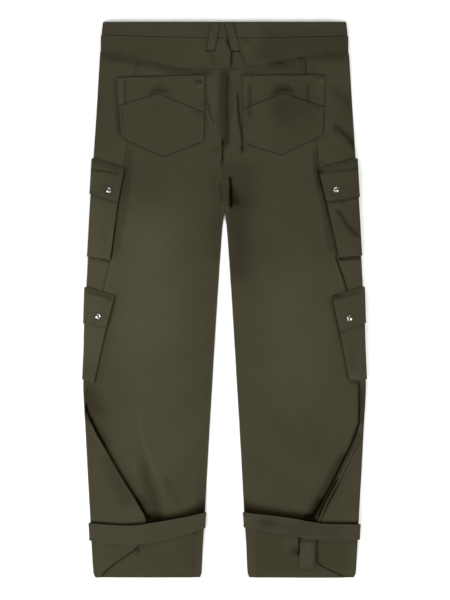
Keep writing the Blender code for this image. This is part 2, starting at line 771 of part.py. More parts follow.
def make_cargo_body(cargo, material):
    """Cargo pocket: its face stands off the panel and its bellows sides turn down to it."""
    height = cargo.top - cargo.bottom
    mouth = MOUTH_DROP / height
    turn = 1.0 - GUSSET / height
    outside, inside = [], []
    for share in (mouth, *POCKET_SHARES, turn, 1.0):
        reach = cargo_corner(cargo, share)[0]
        edge = outer_edge(mix(cargo.top, cargo.bottom, share))
        side_turn = 1.0 - GUSSET / (edge + POCKET_OUT - POCKET_CAP - reach)

        def stand(x, y, share=share, reach=reach):
            from_side = (abs(x) - reach) / GUSSET
            from_bottom = (1.0 - share) / (1.0 - turn)
            risen = min(from_side, from_bottom, 1.0)
            return mix(OVERLAY + CLOTH, POCKET_STAND, max(risen, 0.0))

        outer, inner = cargo_row(
            cargo, share, POCKET_OUT, POCKET_CAP, (*WRAP_RUN[:3], side_turn, 1),
            lambda x, y: CLOTH + 2 * SEAM, lambda x, y: cloth_top(x, y) + stand(x, y))
        outside.append(outer)
        inside.append(inner)
    return wall("cargo_" + cargo.place + "_" + NAMES[cargo.side], outside, inside, material)


def make_flap(cargo, material):
    """Flap: sewn to the panel along its top, over the pocket's mouth and open at its sides."""
    height = cargo.top - cargo.bottom
    last = (cargo.top - cargo.flap) / height
    turn = FLAP_TURN / height
    full = POCKET_STAND + FLAP_SLACK + CLOTH
    outside, inside = [], []
    for share in (0.0, turn, mix(turn, last, 0.5), last):
        stand = mix(OVERLAY + CLOTH, full, min(share / turn, 1.0))
        outer, inner = cargo_row(
            cargo, share, FLAP_OUT, FLAP_CAP, WRAP_RUN, lambda x, y: 0.0,
            lambda x, y, stand=stand: cloth_top(x, y) + stand, inset=-FLAP_WIDER)
        outside.append(outer)
        inside.append(inner)
    return wall("flap_" + cargo.place + "_" + NAMES[cargo.side], outside, inside, material)


def make_snap(cargo, material):
    """Snap cap on the flap's lower rear corner."""
    reach, y = cargo.snap
    x = cargo.side * reach
    around = [(x + step, y + rise) for step in SNAP_AROUND for rise in SNAP_AROUND]
    base = max(cloth_top(*place) for place in around)
    base += POCKET_STAND + FLAP_SLACK + CLOTH + 2.0 * SEAM
    name = "snap_" + cargo.place + "_" + NAMES[cargo.side]
    return turned_solid(name, SNAP_PROFILE, (x, y, base), material)


# ---- Ankle straps -----------------------------------------------------------------------

def strap_roof(side, x, y):
    """Height of a strap's outer face: over the pleat where there is one, else over the panel."""
    pleat = (DOUBLE + OVERLAY) * smooth((abs(x) - PLEAT_REACH) / PLEAT_RAMP)
    return cloth_top(x, y) + pleat + OVERLAY + BAND


def make_strap(side, material):
    """Ankle strap, a flattened ring round the whole leg."""
    outside, inside = [], []
    for level in (1.0, 0.0, -1.0):
        def strap_y(x, level=level):
            return strap_middle(x) + level * strap_half(x)

        far = outer_edge(strap_y(side * STRAP[side][-1].reach)) + STRAP_OUT
        near = inner_edge(strap_y(side * STRAP[side][0].reach)) - STRAP_IN
        near_x = side * (near + STRAP_IN)
        roof = strap_roof(side, near_x, strap_y(near_x))
        turned, near_outer, near_inner = edge_turn(-near, 0.0, roof, STRAP_INNER_CAP, BAND, BAND)
        outer, inner = wrapped_row(
            side, (-turned, *STRAP_FRONT), far, STRAP_CAP, -turned, STRAP_RUN,
            lambda x, y: 0.0, lambda x, y: strap_roof(side, x, y), (BAND, BAND),
            strap_y, lambda x, _: strap_y(x))
        end_y = strap_y(near_x)
        outer += [(-side * reach, end_y, z) for reach, z in reversed(near_outer)]
        inner += [(-side * reach, end_y, z) for reach, z in reversed(near_inner)]
        outside.append(outer)
        inside.append(inner)
    return wall("strap_" + NAMES[side], outside, inside, material, ring=True)


def make_keeper(material):
    """Keeper tab that hangs from under the right strap."""
    width, length, thickness = KEEPER_SIZE
    x, y = KEEPER_TOP
    return sheet("strap_keeper", strip(KEEPER_TOP, (x, y - length), width, 5),
                 lambda x, y: back_under(RIGHT, x, y) + CLOTH + OVERLAY, thickness, material)


# ---- Materials and assembly -------------------------------------------------------------

def principled(name, colour, roughness, metallic=0.0):
    """Plain Principled material."""
    material = bpy.data.materials.new(name)
    material.use_nodes = True
    shader = material.node_tree.nodes["Principled BSDF"]
    shader.inputs["Base Color"].default_value = (*colour, 1.0)
    shader.inputs["Roughness"].default_value = roughness
    shader.inputs["Metallic"].default_value = metallic
    material.diffuse_color = (*colour, 1.0)
    return material


def clear_scene():
    """Remove every object of the open file."""
    for item in list(bpy.data.objects):
        bpy.data.objects.remove(item, do_unlink=True)


def main():
    """Build the whole garment."""
    clear_scene()
    twill = principled("olive_twill", OLIVE, 0.85)
    trim = principled("olive_twill_trim", OLIVE_DARK, 0.8)
    metal = principled("polished_silver", SILVER, 0.25, 1.0)
    make_waistband(trim)
    make_belt_loops(trim)
    make_fly(twill)
    turned_solid("waist_button", BUTTON_PROFILE, (0.0, BUTTON_Y, 0.0), metal)
    for side in (LEFT, RIGHT):
        make_front(side, twill)
        make_side(side, twill)
        make_back(side, twill)
        make_yoke(side, twill)
        make_back_pocket(side, twill)
        make_strap(side, trim)
    for cargo in CARGO:
        make_cargo_body(cargo, twill)
        make_flap(cargo, twill)
        make_snap(cargo, metal)
    make_keeper(trim)


if __name__ == "__main__":
    main()
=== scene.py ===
"""Cargo pants laid flat on their front, back side up: their cloth, seams, stitching and snaps.

Sizes are in millimetres and become metres when a mesh is made.  +X goes across the garment
towards the wearer's right, +Y from hem to waist and +Z up.  A "reach" is a distance outward
from the centre line, the same on both legs.
"""

import logging
import math
from dataclasses import dataclass, field
from enum import Enum
from functools import cache
from typing import Callable, Sequence

import bpy
import numpy as np
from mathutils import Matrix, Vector


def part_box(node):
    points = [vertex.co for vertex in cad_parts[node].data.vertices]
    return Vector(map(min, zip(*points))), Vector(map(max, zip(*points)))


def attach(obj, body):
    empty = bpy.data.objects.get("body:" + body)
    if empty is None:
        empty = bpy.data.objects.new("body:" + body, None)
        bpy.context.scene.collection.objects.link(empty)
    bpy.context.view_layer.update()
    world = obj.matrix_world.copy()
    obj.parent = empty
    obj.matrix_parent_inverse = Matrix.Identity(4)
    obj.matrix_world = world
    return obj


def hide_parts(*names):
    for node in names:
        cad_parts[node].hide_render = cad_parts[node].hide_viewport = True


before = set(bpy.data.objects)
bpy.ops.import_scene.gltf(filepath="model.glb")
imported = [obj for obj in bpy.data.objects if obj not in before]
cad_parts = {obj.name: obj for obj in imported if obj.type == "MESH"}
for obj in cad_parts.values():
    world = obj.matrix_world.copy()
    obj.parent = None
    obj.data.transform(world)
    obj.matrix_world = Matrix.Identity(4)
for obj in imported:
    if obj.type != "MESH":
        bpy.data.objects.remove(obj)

log = logging.getLogger("cargo_pants")
Array = np.ndarray
Height = Callable[[Array, Array], Array]
MM = 0.001


class Side(Enum):
    """Leg, as the wearer names it; the value is its sign along X."""

    LEFT = -1
    RIGHT = 1

    @property
    def label(self) -> str:
        """Its name in lower case."""
        return self.name.lower()


class Layer(Enum):
    """Cloth that a crease belongs to."""

    ALL = "every layer"
    PANEL = "back, side and yoke"
    BACK = "back panel"
    PLEAT = "side panel where it folds over"
    PATCH = "back pockets"
    CARGO = "cargo pockets and flaps"
    POCKET = "cargo pockets without their flaps"
    STRAP = "ankle straps"


class Edge(Enum):
    """Edge of a grid of points."""

    TOP = "first row"
    BOTTOM = "last row"
    START = "first column"
    END = "last column"


# ---- Sizes of the garment ---------------------------------------------------------------

WAIST_Y = 541.0
CROTCH_Y = 172.6
YOKE_ROW = 465.0
STRAP_ROW = -445.0
HEM_ROW = -541.0

CLOTH = 1.4
DOUBLE = 2.6
BAND = 2.0
SEAM = 0.15
OVERLAY = 0.9
PATCH_GAP = 1.6

SEAM_LOFT, EDGE_LOFT, CROWN = 0.6, 1.5, 2.0
RIM_WIDTH = 60.0
INSEAM_ROUND, INSEAM_START_Y, INSEAM_RAMP = 22.0, 235.0, 60.0
FOLD_CAP = 4.0

WAIST_LIFT = 2.9
STRAP_LIFT = 3.0
POCKET_LIFT = 4.2
POCKET_FRONT = 175.0
POCKET_CLEAR = 2.0
LIFT_RAMP = 18.0
FRONT_SEAM = 160.0
SIDE_COLUMN = 214.0
POCKET_SPANS = ((77, 275), (-163, 25))

POCKET_OUT, POCKET_CAP, POCKET_STAND = 2.0, 4.5, 5.2
FLAP_OUT, FLAP_CAP, FLAP_SLACK = 4.0, 5.2, 0.4
FLAP_TURN, FLAP_WIDER = 8.0, 1.0
MOUTH_DROP = 13.0
STRAP_OUT, STRAP_IN, STRAP_CAP, STRAP_INNER_CAP = 3.9, 2.5, 5.6, 2.7
PLEAT_REACH, PLEAT_RAMP = 92.0, 40.0
HEM_LAP_REACH, HEM_LAP_RAMP = 112.0, 32.0
# (row, length) of the ramps over which rows of cloth bend with the yoke seam, with the strap
# and back to the level hem
WAIST_PULL, ANKLE_PULL, HEM_PULL = (301.0, 164.0), (-310.0, -80.0), (HEM_ROW, 45.0)

# (y, reach of the outer edge, reach of the inseam)
LEG = ((541, 237.0, 0.2), (515, 239.5, 0.2), (467, 243.2, 0.2), (373, 249.0, 0.2),
       (280, 254.8, 0.2), (173, 260.8, 0.2), (143, 262.6, 4.1), (96, 265.2, 7.7),
       (34, 268.7, 11.9), (-91, 272.6, 19.8), (-169, 275.1, 24.4), (-247, 271.2, 29.1),
       (-340, 266.4, 34.3), (-426, 261.3, 38.9), (-473, 259.0, 42.0), (-536, 255.2, 45.2),
       (-541, 251.5, 48.0))
CENTRE_BACK = ((510, 4.5), (479, 12.5), (451, 12.5), (435, 8.0), (389, 3.0), (311, 2.0),
               (261, -7.0), (213, 2.5), (172.6, 0.0))
# (y, reach of the side panel's rear edge, reach of the back panel's outer edge)
SIDE_SEAM = {
    Side.LEFT: (
        (482, 168, 168), (434, 177, 177), (305, 189, 189), (256, 196, 196), (80, 222, 222),
        (18, 236, 236), (-80, 248, 248), (-163, 265, 265), (-192, 268.5, 268.5),
        (-212, 267, 267), (-226, 264, 265), (-248, 256, 261), (-293, 231.5, 254),
        (-345, 201.4, 226), (-389, 174, 199), (-427, 153.5, 176), (-450, 151, 172),
        (-480, 171.6, 192), (-515, 217.8, 234), (-536, 240, 247), (-541, 243, 247)),
    Side.RIGHT: (
        (482, 156, 156), (434, 158, 158), (305, 178.5, 178.5), (256, 184, 184), (80, 218, 218),
        (18, 238, 238), (-80, 248, 248), (-163, 261, 261), (-236, 262.5, 262.5),
        (-254, 259.5, 263), (-280, 249, 262), (-313, 233, 252), (-356, 212, 232),
        (-395, 190, 208), (-424, 177, 186), (-434, 172, 173), (-446, 171, 172),
        (-456, 164, 175), (-467, 158, 176), (-478, 157, 177),
        (-508, 158, 177), (-541, 214, 232)),
}
# (y, how far the side panel is raised to lie over the other, how far the back panel is)
LAP = {
    Side.LEFT: ((-190, 0, 0), (-230, 1, 0), (-541, 1, 0)),
    Side.RIGHT: ((-190, 0, 0), (-230, 1, 0), (-434, 1, 0), (-446, 0, 0), (-460, 0, 1),
                 (-541, 0, 1)),
}
YOKE_SEAM = ((-242, 482.6), (-168, 468), (-68, 448.3), (6, 448.5), (82, 454.7), (136, 467),
             (181, 472.7), (242, 479))
WAIST_SEAM = ((-242, 515), (0, 509.5), (242, 513))
# (reach, height of the middle line, half width)
STRAP = {
    Side.LEFT: ((36, -428.6, 14.8), (75, -439.3, 17.0), (131, -450.8, 19.0),
                (185, -457.5, 19.0), (264, -451.5, 17.0)),
    Side.RIGHT: ((36, -428.2, 14.5), (130, -441.5, 17.0), (195, -450.5, 15.5),
                 (264, -452.0, 15.0)),
}


def smooth(value: Array) -> Array:
    """Eases a value from 0 to 1, held at both ends."""
    held = np.clip(value, 0.0, 1.0)
    return held * held * (3.0 - 2.0 * held)


def ramp(value: Array, start: Array, length: float) -> Array:
    """Eases from 0 at a start to 1 at a length beyond it; a negative length goes down."""
    return smooth((value - start) / length)


def fall(value: Array, start: Array, length: float) -> Array:
    """Eases from 1 at a start to 0 at a length beyond it."""
    return smooth(1.0 - (value - start) / length)


def round_off(share: Array) -> Array:
    """Rises from 0 to 1 as a quarter of a circle, held at both ends."""
    return np.sqrt(1.0 - (1.0 - np.clip(share, 0.0, 1.0)) ** 2)


def mix(start: Array, end: Array, share: Array) -> Array:
    """Gives the value at a share of the way from start to end."""
    return start + (end - start) * share


class Curve:
    """Line through points that bends smoothly and never overshoots them."""

    def __init__(self, points: Sequence[tuple[float, float]]) -> None:
        ordered = np.array(sorted(points), float)
        self.keys, self.values = ordered[:, 0], ordered[:, 1]
        slopes = np.diff(self.values) / np.diff(self.keys)
        before, after = slopes[:-1], slopes[1:]
        same = before * after > 0.0
        total = np.where(same, before + after, 1.0)
        level = np.where(same, 2.0 * before * after / total, 0.0)
        self.tangents = np.concatenate([slopes[:1], level, slopes[-1:]])

    def __call__(self, at: Array) -> Array:
        """Gives its value at each key."""
        held = np.clip(at, self.keys[0], self.keys[-1])
        last = len(self.keys) - 2
        first = np.clip(np.searchsorted(self.keys, held, side="right") - 1, 0, last)
        span = self.keys[first + 1] - self.keys[first]
        t = (held - self.keys[first]) / span
        ease = t * t * (3.0 - 2.0 * t)
        bend = (1.0 - t) * self.tangents[first] - t * self.tangents[first + 1]
        return mix(self.values[first], self.values[first + 1], ease) + t * (1.0 - t) * bend * span


outer_edge = Curve([(y, outer) for y, outer, _ in LEG])
inner_edge = Curve([(y, inner) for y, _, inner in LEG])
centre_back = Curve(CENTRE_BACK)
yoke_seam = Curve(YOKE_SEAM)
waist_seam = Curve(WAIST_SEAM)
side_reach = {side: Curve([(y, a) for y, a, _ in rows]) for side, rows in SIDE_SEAM.items()}
back_reach = {side: Curve([(y, b) for y, _, b in rows]) for side, rows in SIDE_SEAM.items()}
strap_middles = {side: Curve([(r, m) for r, m, _ in rows]) for side, rows in STRAP.items()}
strap_halves = {side: Curve([(r, h) for r, _, h in rows]) for side, rows in STRAP.items()}


def by_side(curves: dict[Side, Curve], x: Array) -> Array:
    """Reads the curve of the leg that each x belongs to, at its reach."""
    reach = np.abs(x)
    return np.where(x < 0.0, curves[Side.LEFT](reach), curves[Side.RIGHT](reach))


def strap_middle(x: Array) -> Array:
    """Gives the height of the strap's middle line."""
    return by_side(strap_middles, x)


def strap_half(x: Array) -> Array:
    """Gives half of the strap's width."""
    return by_side(strap_halves, x)


def lap(side: Side, y: Array, back: bool) -> Array:
    """Tells how far the side panel, or the back one, is raised over the other, 0 to 1."""
    rows = np.array(sorted(LAP[side]), float)
    return np.interp(y, rows[:, 0], rows[:, 2 if back else 1])


def hem_lap(side: Side, x: Array, y: Array) -> Array:
    """Tells how far the back panel lies over the side one at each point, 0 to 1."""
    return ramp(np.abs(x), HEM_LAP_REACH, HEM_LAP_RAMP) * lap(side, y, True)


def cloth_y(x: Array, row: Array, top: float | None = None) -> Array:
    """Gives a cloth row's height at x: rows bend with the yoke seam and with the strap."""
    top_y = yoke_seam(x) if top is None else top
    waist_pull = (top_y - YOKE_ROW) * ramp(row, *WAIST_PULL)
    ankle_pull = ramp(row, *ANKLE_PULL) * ramp(row, *HEM_PULL)
    return row + waist_pull + (strap_middle(x) - STRAP_ROW) * ankle_pull


def settled(edge: Callable[[Array], Array], row: Array, top: float | None = None) -> Array:
    """Gives x where a cloth row meets an edge whose x is known at each y."""
    y = row
    for _ in range(4):
        x = edge(y)
        y = cloth_y(x, row, top)
    return x


# ---- Creases and unevenness of the cloth ------------------------------------------------

@dataclass(frozen=True)
class Crease:
    """Soft ridge, trough or band of painted shade and light along a line.

    Args:
        path: Points (x, y) that it runs through.
        height: Rise at its middle; a trough's is negative.
        left: Width of its slope at its left, looking along the path.
        right: Width of its slope at its right; None for the same.
        tone: Painted light (above 0) or painted shade (below 0) that it adds to the cloth's tone at its
            middle.
        fade: Share of its length over which it dies out at either end.
        power: How flat its top is; 2 is a plain wave.
        layer: Cloth that it is in.
    """

    path: tuple[tuple[float, float], ...]
    height: float
    left: float
    right: float
    tone: float
    fade: float = 0.25
    power: float = 2.0
    layer: Layer = Layer.PANEL

    def rounded(self) -> Array:
        """Gives its path with the corners eased."""
        points = np.array(self.path, float)
        steps = np.hypot(*np.diff(points, axis=0).T)
        along = np.concatenate([[0.0], np.cumsum(steps)])
        if len(points) == 2:
            return points
        at = np.linspace(0.0, along[-1], 4 * len(points))
        return np.stack([Curve(list(zip(along, points[:, k])))(at) for k in (0, 1)], axis=1)

    def weight(self, x: Array, y: Array) -> Array:
        """Tells how strongly it acts at each point, 0 to 1."""
        widest = 3.0 * max(self.left, self.right)
        points = self.rounded()
        low, high = points.min(axis=0) - widest, points.max(axis=0) + widest
        near = (x > low[0]) & (x < high[0]) & (y > low[1]) & (y < high[1])
        out = np.zeros(np.shape(x))
        if not near.any():
            return out
        px, py = x[near], y[near]
        best = np.full(px.shape, np.inf)
        signed, along, walked = np.zeros(px.shape), np.zeros(px.shape), 0.0
        for (ax, ay), (bx, by) in zip(points, points[1:]):
            dx, dy = bx - ax, by - ay
            length = math.hypot(dx, dy)
            t = np.clip(((px - ax) * dx + (py - ay) * dy) / length ** 2, 0.0, 1.0)
            ex, ey = px - ax - t * dx, py - ay - t * dy
            distance = np.hypot(ex, ey)
            at_left = dx * ey - dy * ex >= 0.0
            nearer = distance < best
            best = np.where(nearer, distance, best)
            signed = np.where(nearer, np.where(at_left, distance, -distance), signed)
            along = np.where(nearer, walked + t * length, along)
            walked += length
        width = np.where(signed >= 0.0, self.left, self.right)
        ends = max(self.fade * walked, 0.01)
        taper = smooth(along / ends) * smooth((walked - along) / ends) if self.fade else 1.0
        out[near] = np.exp(-np.abs(signed / width) ** self.power) * taper
        return out


class Unevenness:
    """Smooth random heights from -1 to 1, the same at every run."""

    CELLS = 61

    def __init__(self, seed: int, cell: float, stretch: float = 1.0) -> None:
        self.cell = cell
        self.stretch = stretch
        self.values = np.random.default_rng(seed).uniform(-1.0, 1.0, (self.CELLS, self.CELLS))

    def __call__(self, x: Array, y: Array) -> Array:
        """Gives the height at each point."""
        u, v = np.asarray(x) / self.cell, np.asarray(y) / (self.cell * self.stretch)
        i, j = np.floor(u).astype(int), np.floor(v).astype(int)
        s, t = smooth(u - i), smooth(v - j)

        def at(a: Array, b: Array) -> Array:
            """Reads the heights of some cells."""
            return self.values[a % self.CELLS, b % self.CELLS]

        return mix(mix(at(i, j), at(i + 1, j), s), mix(at(i, j + 1), at(i + 1, j + 1), s), t)


# Folds, hollows and painted shade and light of each layer: path, height, widths at its left
# and right, tone (painted shade below 0, painted light above 0), fade and power.
FOLDS = {
    Layer.ALL: (
        # Two raised folds beside the centre back, the ridge under the crotch seam; the raised folds
        # carry a little painted light.
        (((-25, 452), (-24, 400), (-20, 326)), 3.0, 8, 8, 0.10, 0.15),
        (((17, 448), (18, 390), (22, 318)), 3.0, 5, 6, 0.06, 0.2),
        (((-64, 40), (-58, -120), (-54, -330)), 1.5, 24, 20, 0.0, 0.3),
        (((58, 120), (66, -20), (72, -160)), 1.5, 24, 24, 0.0, 0.3),
        (((96, -190), (92, -300), (88, -408)), 2.0, 20, 20, 0.0, 0.3),
        (((-168, -195), (-162, -262), (-140, -318), (-120, -368), (-106, -412)), 2.6, 9, 7, 0.11, 0.2),
        # Broad painted light and shade, with no height: paler on the thighs, the knees and the left
        # side; darker at the seat and crotch, the waist, the right hip, the right back pocket and the
        # hems.
        (((-150, 240), (-150, 60), (-150, -180)), 0.0, 75, 75, 0.35, 0.3),
        (((-140, -90), (-140, -380)), 0.0, 70, 70, 0.15, 0.3),
        (((130, -90), (140, -250)), 0.0, 70, 70, 0.10, 0.3),
        (((120, 110), (130, 0), (130, -170)), 0.0, 75, 75, 0.18, 0.3),
        (((-262, 220), (-268, 60), (-272, -150)), 0.0, 40, 30, 0.22, 0.15),
        (((-270, 252), (-272, 206)), 0.0, 26, 26, 0.18, 0.2),
        (((38, 215), (44, 100), (48, 0)), 0.0, 24, 24, -0.06, 0.2),
        (((22, 285), (26, 235), (30, 165)), 0.0, 44, 36, -0.22, 0.25),
        (((10, 215), (14, 130), (20, 20)), 0.0, 30, 7, -0.26, 0.2),
        (((-8, 200), (-10, 130), (-15, 60)), 0.0, 5, 28, -0.20, 0.2),
        (((60, 506), (255, 500)), 0.0, 36, 36, -0.22, 0.15),
        (((-220, 490), (-60, 478)), 0.0, 24, 24, -0.08, 0.15),
        (((44, 492), (96, 470), (130, 462)), 0.0, 16, 20, -0.16, 0.25),
        (((100, 450), (190, 446)), 0.0, 12, 12, -0.12, 0.2),
        (((262, 440), (266, 250), (272, 60)), 0.0, 36, 50, -0.15, 0.2),
        (((50, -505), (250, -505)), 0.0, 34, 34, -0.19, 0.1),
        (((-250, -510), (-50, -510)), 0.0, 28, 28, -0.07, 0.1),
        (((66, 372), (204, 380)), 0.0, 52, 56, -0.22, 0.35),
    ),
    Layer.PANEL: (
        # Centre back, between the pockets: folds and troughs with painted shade in them and painted
        # light on their ridges.
        (((-11, 448), (-10, 400), (-9.5, 345), (-9, 306)), -1.2, 2.0, 3.0, -0.18, 0.15),
        (((-16, 430), (-15, 395), (-14, 360)), 0.6, 4.0, 4.0, 0.10, 0.2),
        (((0, 456), (-0.5, 389), (1, 330), (2, 292)), -1.6, 8.6, 8.0, -0.42, 0.08, 4.0),
        (((5, 450), (5, 389), (7, 330), (6, 300)), -0.6, 3.4, 1.8, -0.24, 0.12),
        (((14, 436), (13.5, 389), (14, 350)), -0.4, 4.5, 4.0, -0.24, 0.2),
        (((21, 420), (21.5, 388), (20, 340)), 0.5, 2.0, 2.0, 0.10, 0.2),
        (((24.5, 408), (29, 354), (34.5, 309), (33, 282)), -2.0, 2.0, 2.2, -0.72, 0.12),
        (((34, 300), (38, 284)), -0.8, 6, 6, -0.30, 0.25),
        (((-35, 396), (-31, 376), (-25, 356), (-16, 336)), -1.4, 1.8, 3.0, -0.42),
        (((-37, 360), (-30, 332)), -0.8, 2.0, 2.4, -0.22),
        (((-4, 316), (-4, 290), (-4, 264)), -1.8, 2.2, 2.0, -0.70, 0.12),
        (((-11, 267), (-8, 256), (-2, 242)), 1.6, 2.4, 2.4, 0.20),
        (((-14, 300), (-16, 282)), -0.6, 7, 7, -0.18),
        (((2, 242), (4, 205), (3, 172)), 2.6, 3.0, 4.0, 0.14, 0.12),
        (((10, 244), (11.5, 214), (12, 176)), -2.2, 3.4, 2.2, -0.85, 0.12),
        (((14, 228), (24, 180)), -1.0, 8, 14, -0.30),
        (((-8, 236), (-4, 184)), -0.8, 4, 5, -0.22),
        (((20, 245), (27, 180), (34, 110), (42, 10)), -1.2, 20, 13, -0.08),
        (((-18, 262), (-20, 235), (-14, 190)), -0.4, 14, 12, -0.12),
        # Yoke seam: the panels dip below it in a broad soft band of painted shade; small marks beside it
        # carry painted shade and light.
        (((-246, 479), (-205, 469), (-136, 456), (-62, 443), (-16, 442)), -0.5, 5, 7, -0.30, 0.06),
        (((26, 442), (60, 444), (100, 453), (150, 465), (240, 475)), -0.4, 7, 6, -0.18, 0.06),
        (((76, 457), (122, 463)), -0.4, 1.6, 1.6, -0.30),
        (((138, 470), (158, 470)), -0.4, 1.6, 1.6, -0.40),
        (((-152, 440), (-112, 438)), 0.6, 4, 7, 0.14, 0.3),
        (((-168, 462), (-168, 434)), -0.5, 1.6, 1.6, -0.25, 0.15),
        (((29, 510), (53, 498)), -0.9, 2.4, 2.4, -0.30),
        (((29, 486), (37, 467), (42, 450)), -1.0, 2.2, 2.6, -0.40),
        (((4, 509), (8, 498), (14, 482), (13, 452)), -1.0, 2.4, 2.4, -0.60, 0.1),
        (((-24, 480), (-20, 452)), -0.6, 5, 5, -0.20),
        (((150, 470), (150, 440)), -0.4, 3.0, 3.0, -0.16, 0.15),
        (((158, 468), (159, 438)), -0.6, 1.6, 1.6, -0.42, 0.1),
        # Hips: a deep bite above the right pocket, small pulls beside it, with painted shade in them.
        (((206, 341), (217, 335), (234, 322), (250, 303), (262, 284)), -1.8, 6.2, 5.0, -0.42, 0.16, 4.0),
        (((202, 322), (222, 311), (238, 292)), 1.4, 5, 6, 0.05),
        (((212, 300), (234, 297)), -0.6, 3, 3, -0.16),
        (((205, 420), (226, 400), (246, 372)), -1.0, 10, 9, -0.20),
        (((-214, 432), (-212, 380), (-206, 318)), -0.3, 3, 3, -0.20, 0.1),
        (((-206, 376), (-203, 318)), -0.5, 3, 3, -0.25, 0.15),
        # The leg is pulled down beside the cargo pockets, with painted shadow lines along their edges
        # and painted shade beside them.
        (((-194, 257), (-207, 188), (-211, 158)), -1.2, 1.4, 1.6, -0.34, 0.04),
        (((-211, 158), (-215, 130), (-221.5, 78)), -1.6, 1.7, 1.8, -0.62, 0.08),
        (((-183, 303), (-187, 262), (-190, 225), (-199, 165), (-207, 126), (-211, 78)),
         -0.8, 9, 8, -0.22, 0.1, 4.0),
        (((182, 257), (198, 190), (221.5, 82)), -1.3, 1.8, 2.0, -0.50, 0.04),
        (((176, 300), (178.5, 262), (182.5, 233), (188, 202)), -0.9, 6, 6, -0.36, 0.16, 4.0),
        (((186, 214), (196, 165), (201, 116), (212, 82)), -0.6, 8, 5, -0.20, 0.16, 4.0),
        (((-212.8, 8), (-228.8, -54), (-253, -163)), -1.1, 1.5, 1.6, -0.28, 0.05),
        (((-222, -60), (-244, -160)), -0.6, 6, 3, -0.10, 0.2),
        (((209.3, 8), (224.3, -63), (241.8, -157)), -1.0, 1.5, 1.4, -0.20, 0.05),
        (((215, 86), (228, 50), (239, 16)), -1.0, 1.8, 2.2, -0.75, 0.06),
        (((211, 84), (234, 20)), 0.4, 2.0, 3.0, 0.10, 0.12),
        (((-222, 78), (-236, 18)), -0.3, 3, 3, -0.05, 0.12),
        (((266, 81), (244, 80.5), (220, 78)), -1.4, 2.0, 2.6, -0.95, 0.06),
        (((-270, 87.5), (-222, 76)), -1.0, 2.4, 2.2, -0.85, 0.05),
        (((186, 270), (196, 268)), -0.5, 5, 5, -0.25),
        # Below the lower pockets, where the pleats begin: painted shade under the pockets and beside the
        # pleats' folds.
        (((-266, -158), (-262, -196), (-250, -240)), -1.2, 20, 16, -0.40, 0.3),
        (((-240, -176), (-232, -256)), 0.0, 22, 20, -0.13, 0.45),
        (((-272, -200), (-264, -226), (-256, -244)), -1.0, 2.6, 4.0, -0.85, 0.1),
        (((261.5, -158), (262.5, -200), (262, -244)), -1.0, 4.0, 3.6, -0.60, 0.06),
        (((270, -165), (271, -250)), 0.0, 7, 7, -0.25, 0.1),
        (((262, -160), (243, -162)), -0.9, 3, 4, -0.40, 0.2),
        # Calves: folds with painted shade in their troughs and a little painted light on their crests.
        (((-172, -200), (-168, -262), (-152, -320)), -1.6, 4, 6, -0.12, 0.3),
        (((-163, -290), (-149, -350), (-135, -392), (-124, -440)), -2.2, 9, 13, -0.33, 0.25),
        (((-146, -206), (-146, -256)), -0.5, 5, 5, -0.08),
        (((-100, -352), (-95, -412)), 1.6, 6, 6, 0.06),
        (((-116, -334), (-88, -404)), -1.2, 6, 6, -0.14),
        (((-184, -300), (-160, -352)), 0.8, 6, 6, 0.04),
        (((150, -200), (180, -262), (188, -340)), -1.0, 16, 16, -0.07),
        # Hems: folds and dips with painted shade in them, darkest beside the keeper tab.
        (((-84, -506), (-76, -538)), 1.0, 5, 5, 0.06, 0.3),
        (((-58, -500), (-62, -538)), -0.9, 6, 6, -0.12, 0.3),
        (((-104, -474), (-44, -470)), 0.0, 20, 30, -0.16, 0.25),
        (((52, -462), (120, -470)), 0.0, 16, 24, -0.14, 0.2),
        (((-54, -452), (-60, -456)), -0.6, 4, 4, -0.30, 0.3),
        (((-170, -478), (-166, -494)), -0.9, 3, 3.4, -0.55, 0.2),
        (((146, -456), (146, -482), (143, -500)), -1.0, 2.6, 3.0, -0.85, 0.12),
        (((128, -487), (143, -493)), -0.8, 5, 5, -0.35, 0.2),
    ),
    # Ankle pleats: the back panel dips beside the fold that lies over it, with painted shadow along the
    # fold and painted shade beside it.
    Layer.BACK: (
        (((-262, -228), (-255, -247), (-229, -293), (-199, -345), (-171, -389), (-149, -428)),
         -1.6, 4.0, 3.0, -0.86, 0.02),
        (((-256, -236), (-218, -300), (-188, -352), (-160, -396), (-142, -430)),
         -1.4, 12, 6, -0.14, 0.06),
        (((-258, -228), (-240, -268), (-226, -292)), 0.0, 11, 5, -0.26, 0.2),
        (((-172, -380), (-158, -402), (-144, -430)), 0.0, 12, 5, -0.30, 0.2),
        (((262, -240), (247.5, -281), (231.5, -314), (209.5, -357), (187.5, -396), (170, -428)),
         -1.6, 3.4, 3.4, -0.84, 0.02),
        (((236, -292), (216, -330), (194, -370), (174, -408), (160, -434)), -1.0, 5, 9, -0.42, 0.1),
        (((190, -380), (162, -434)), -0.4, 5, 12, -0.32, 0.2),
        (((-168, -484), (-190, -495), (-216, -515), (-243, -540)), -0.9, 3.0, 2.0, -0.40, 0.06),
    ),
    # Painted shade on the folded side panel, along and beside its fold, and along its fold below the
    # right strap.
    Layer.PLEAT: (
        (((-236, -296), (-208, -350), (-180, -404)), -0.6, 17, 17, -0.19, 0.1, 4.0),
        (((222, -340), (210, -362), (188.5, -401), (177, -432)), 0.0, 7.0, 3.4, -0.45, 0.15),
        (((228, -350), (202, -398), (190, -424)), 0.0, 2.5, 6.0, -0.34, 0.3),
        (((262, -300), (226, -360), (196, -430)), 0.0, 8, 5, -0.10, 0.2),
        (((180, -462), (180, -508), (236, -541)), -0.6, 2.4, 2.4, -0.60, 0.02),
    ),
    # Back pockets: hollows over the chevron's tip, pulls beside the seams, with painted shade in the
    # hollows and painted light on the ridges.
    Layer.PATCH: (
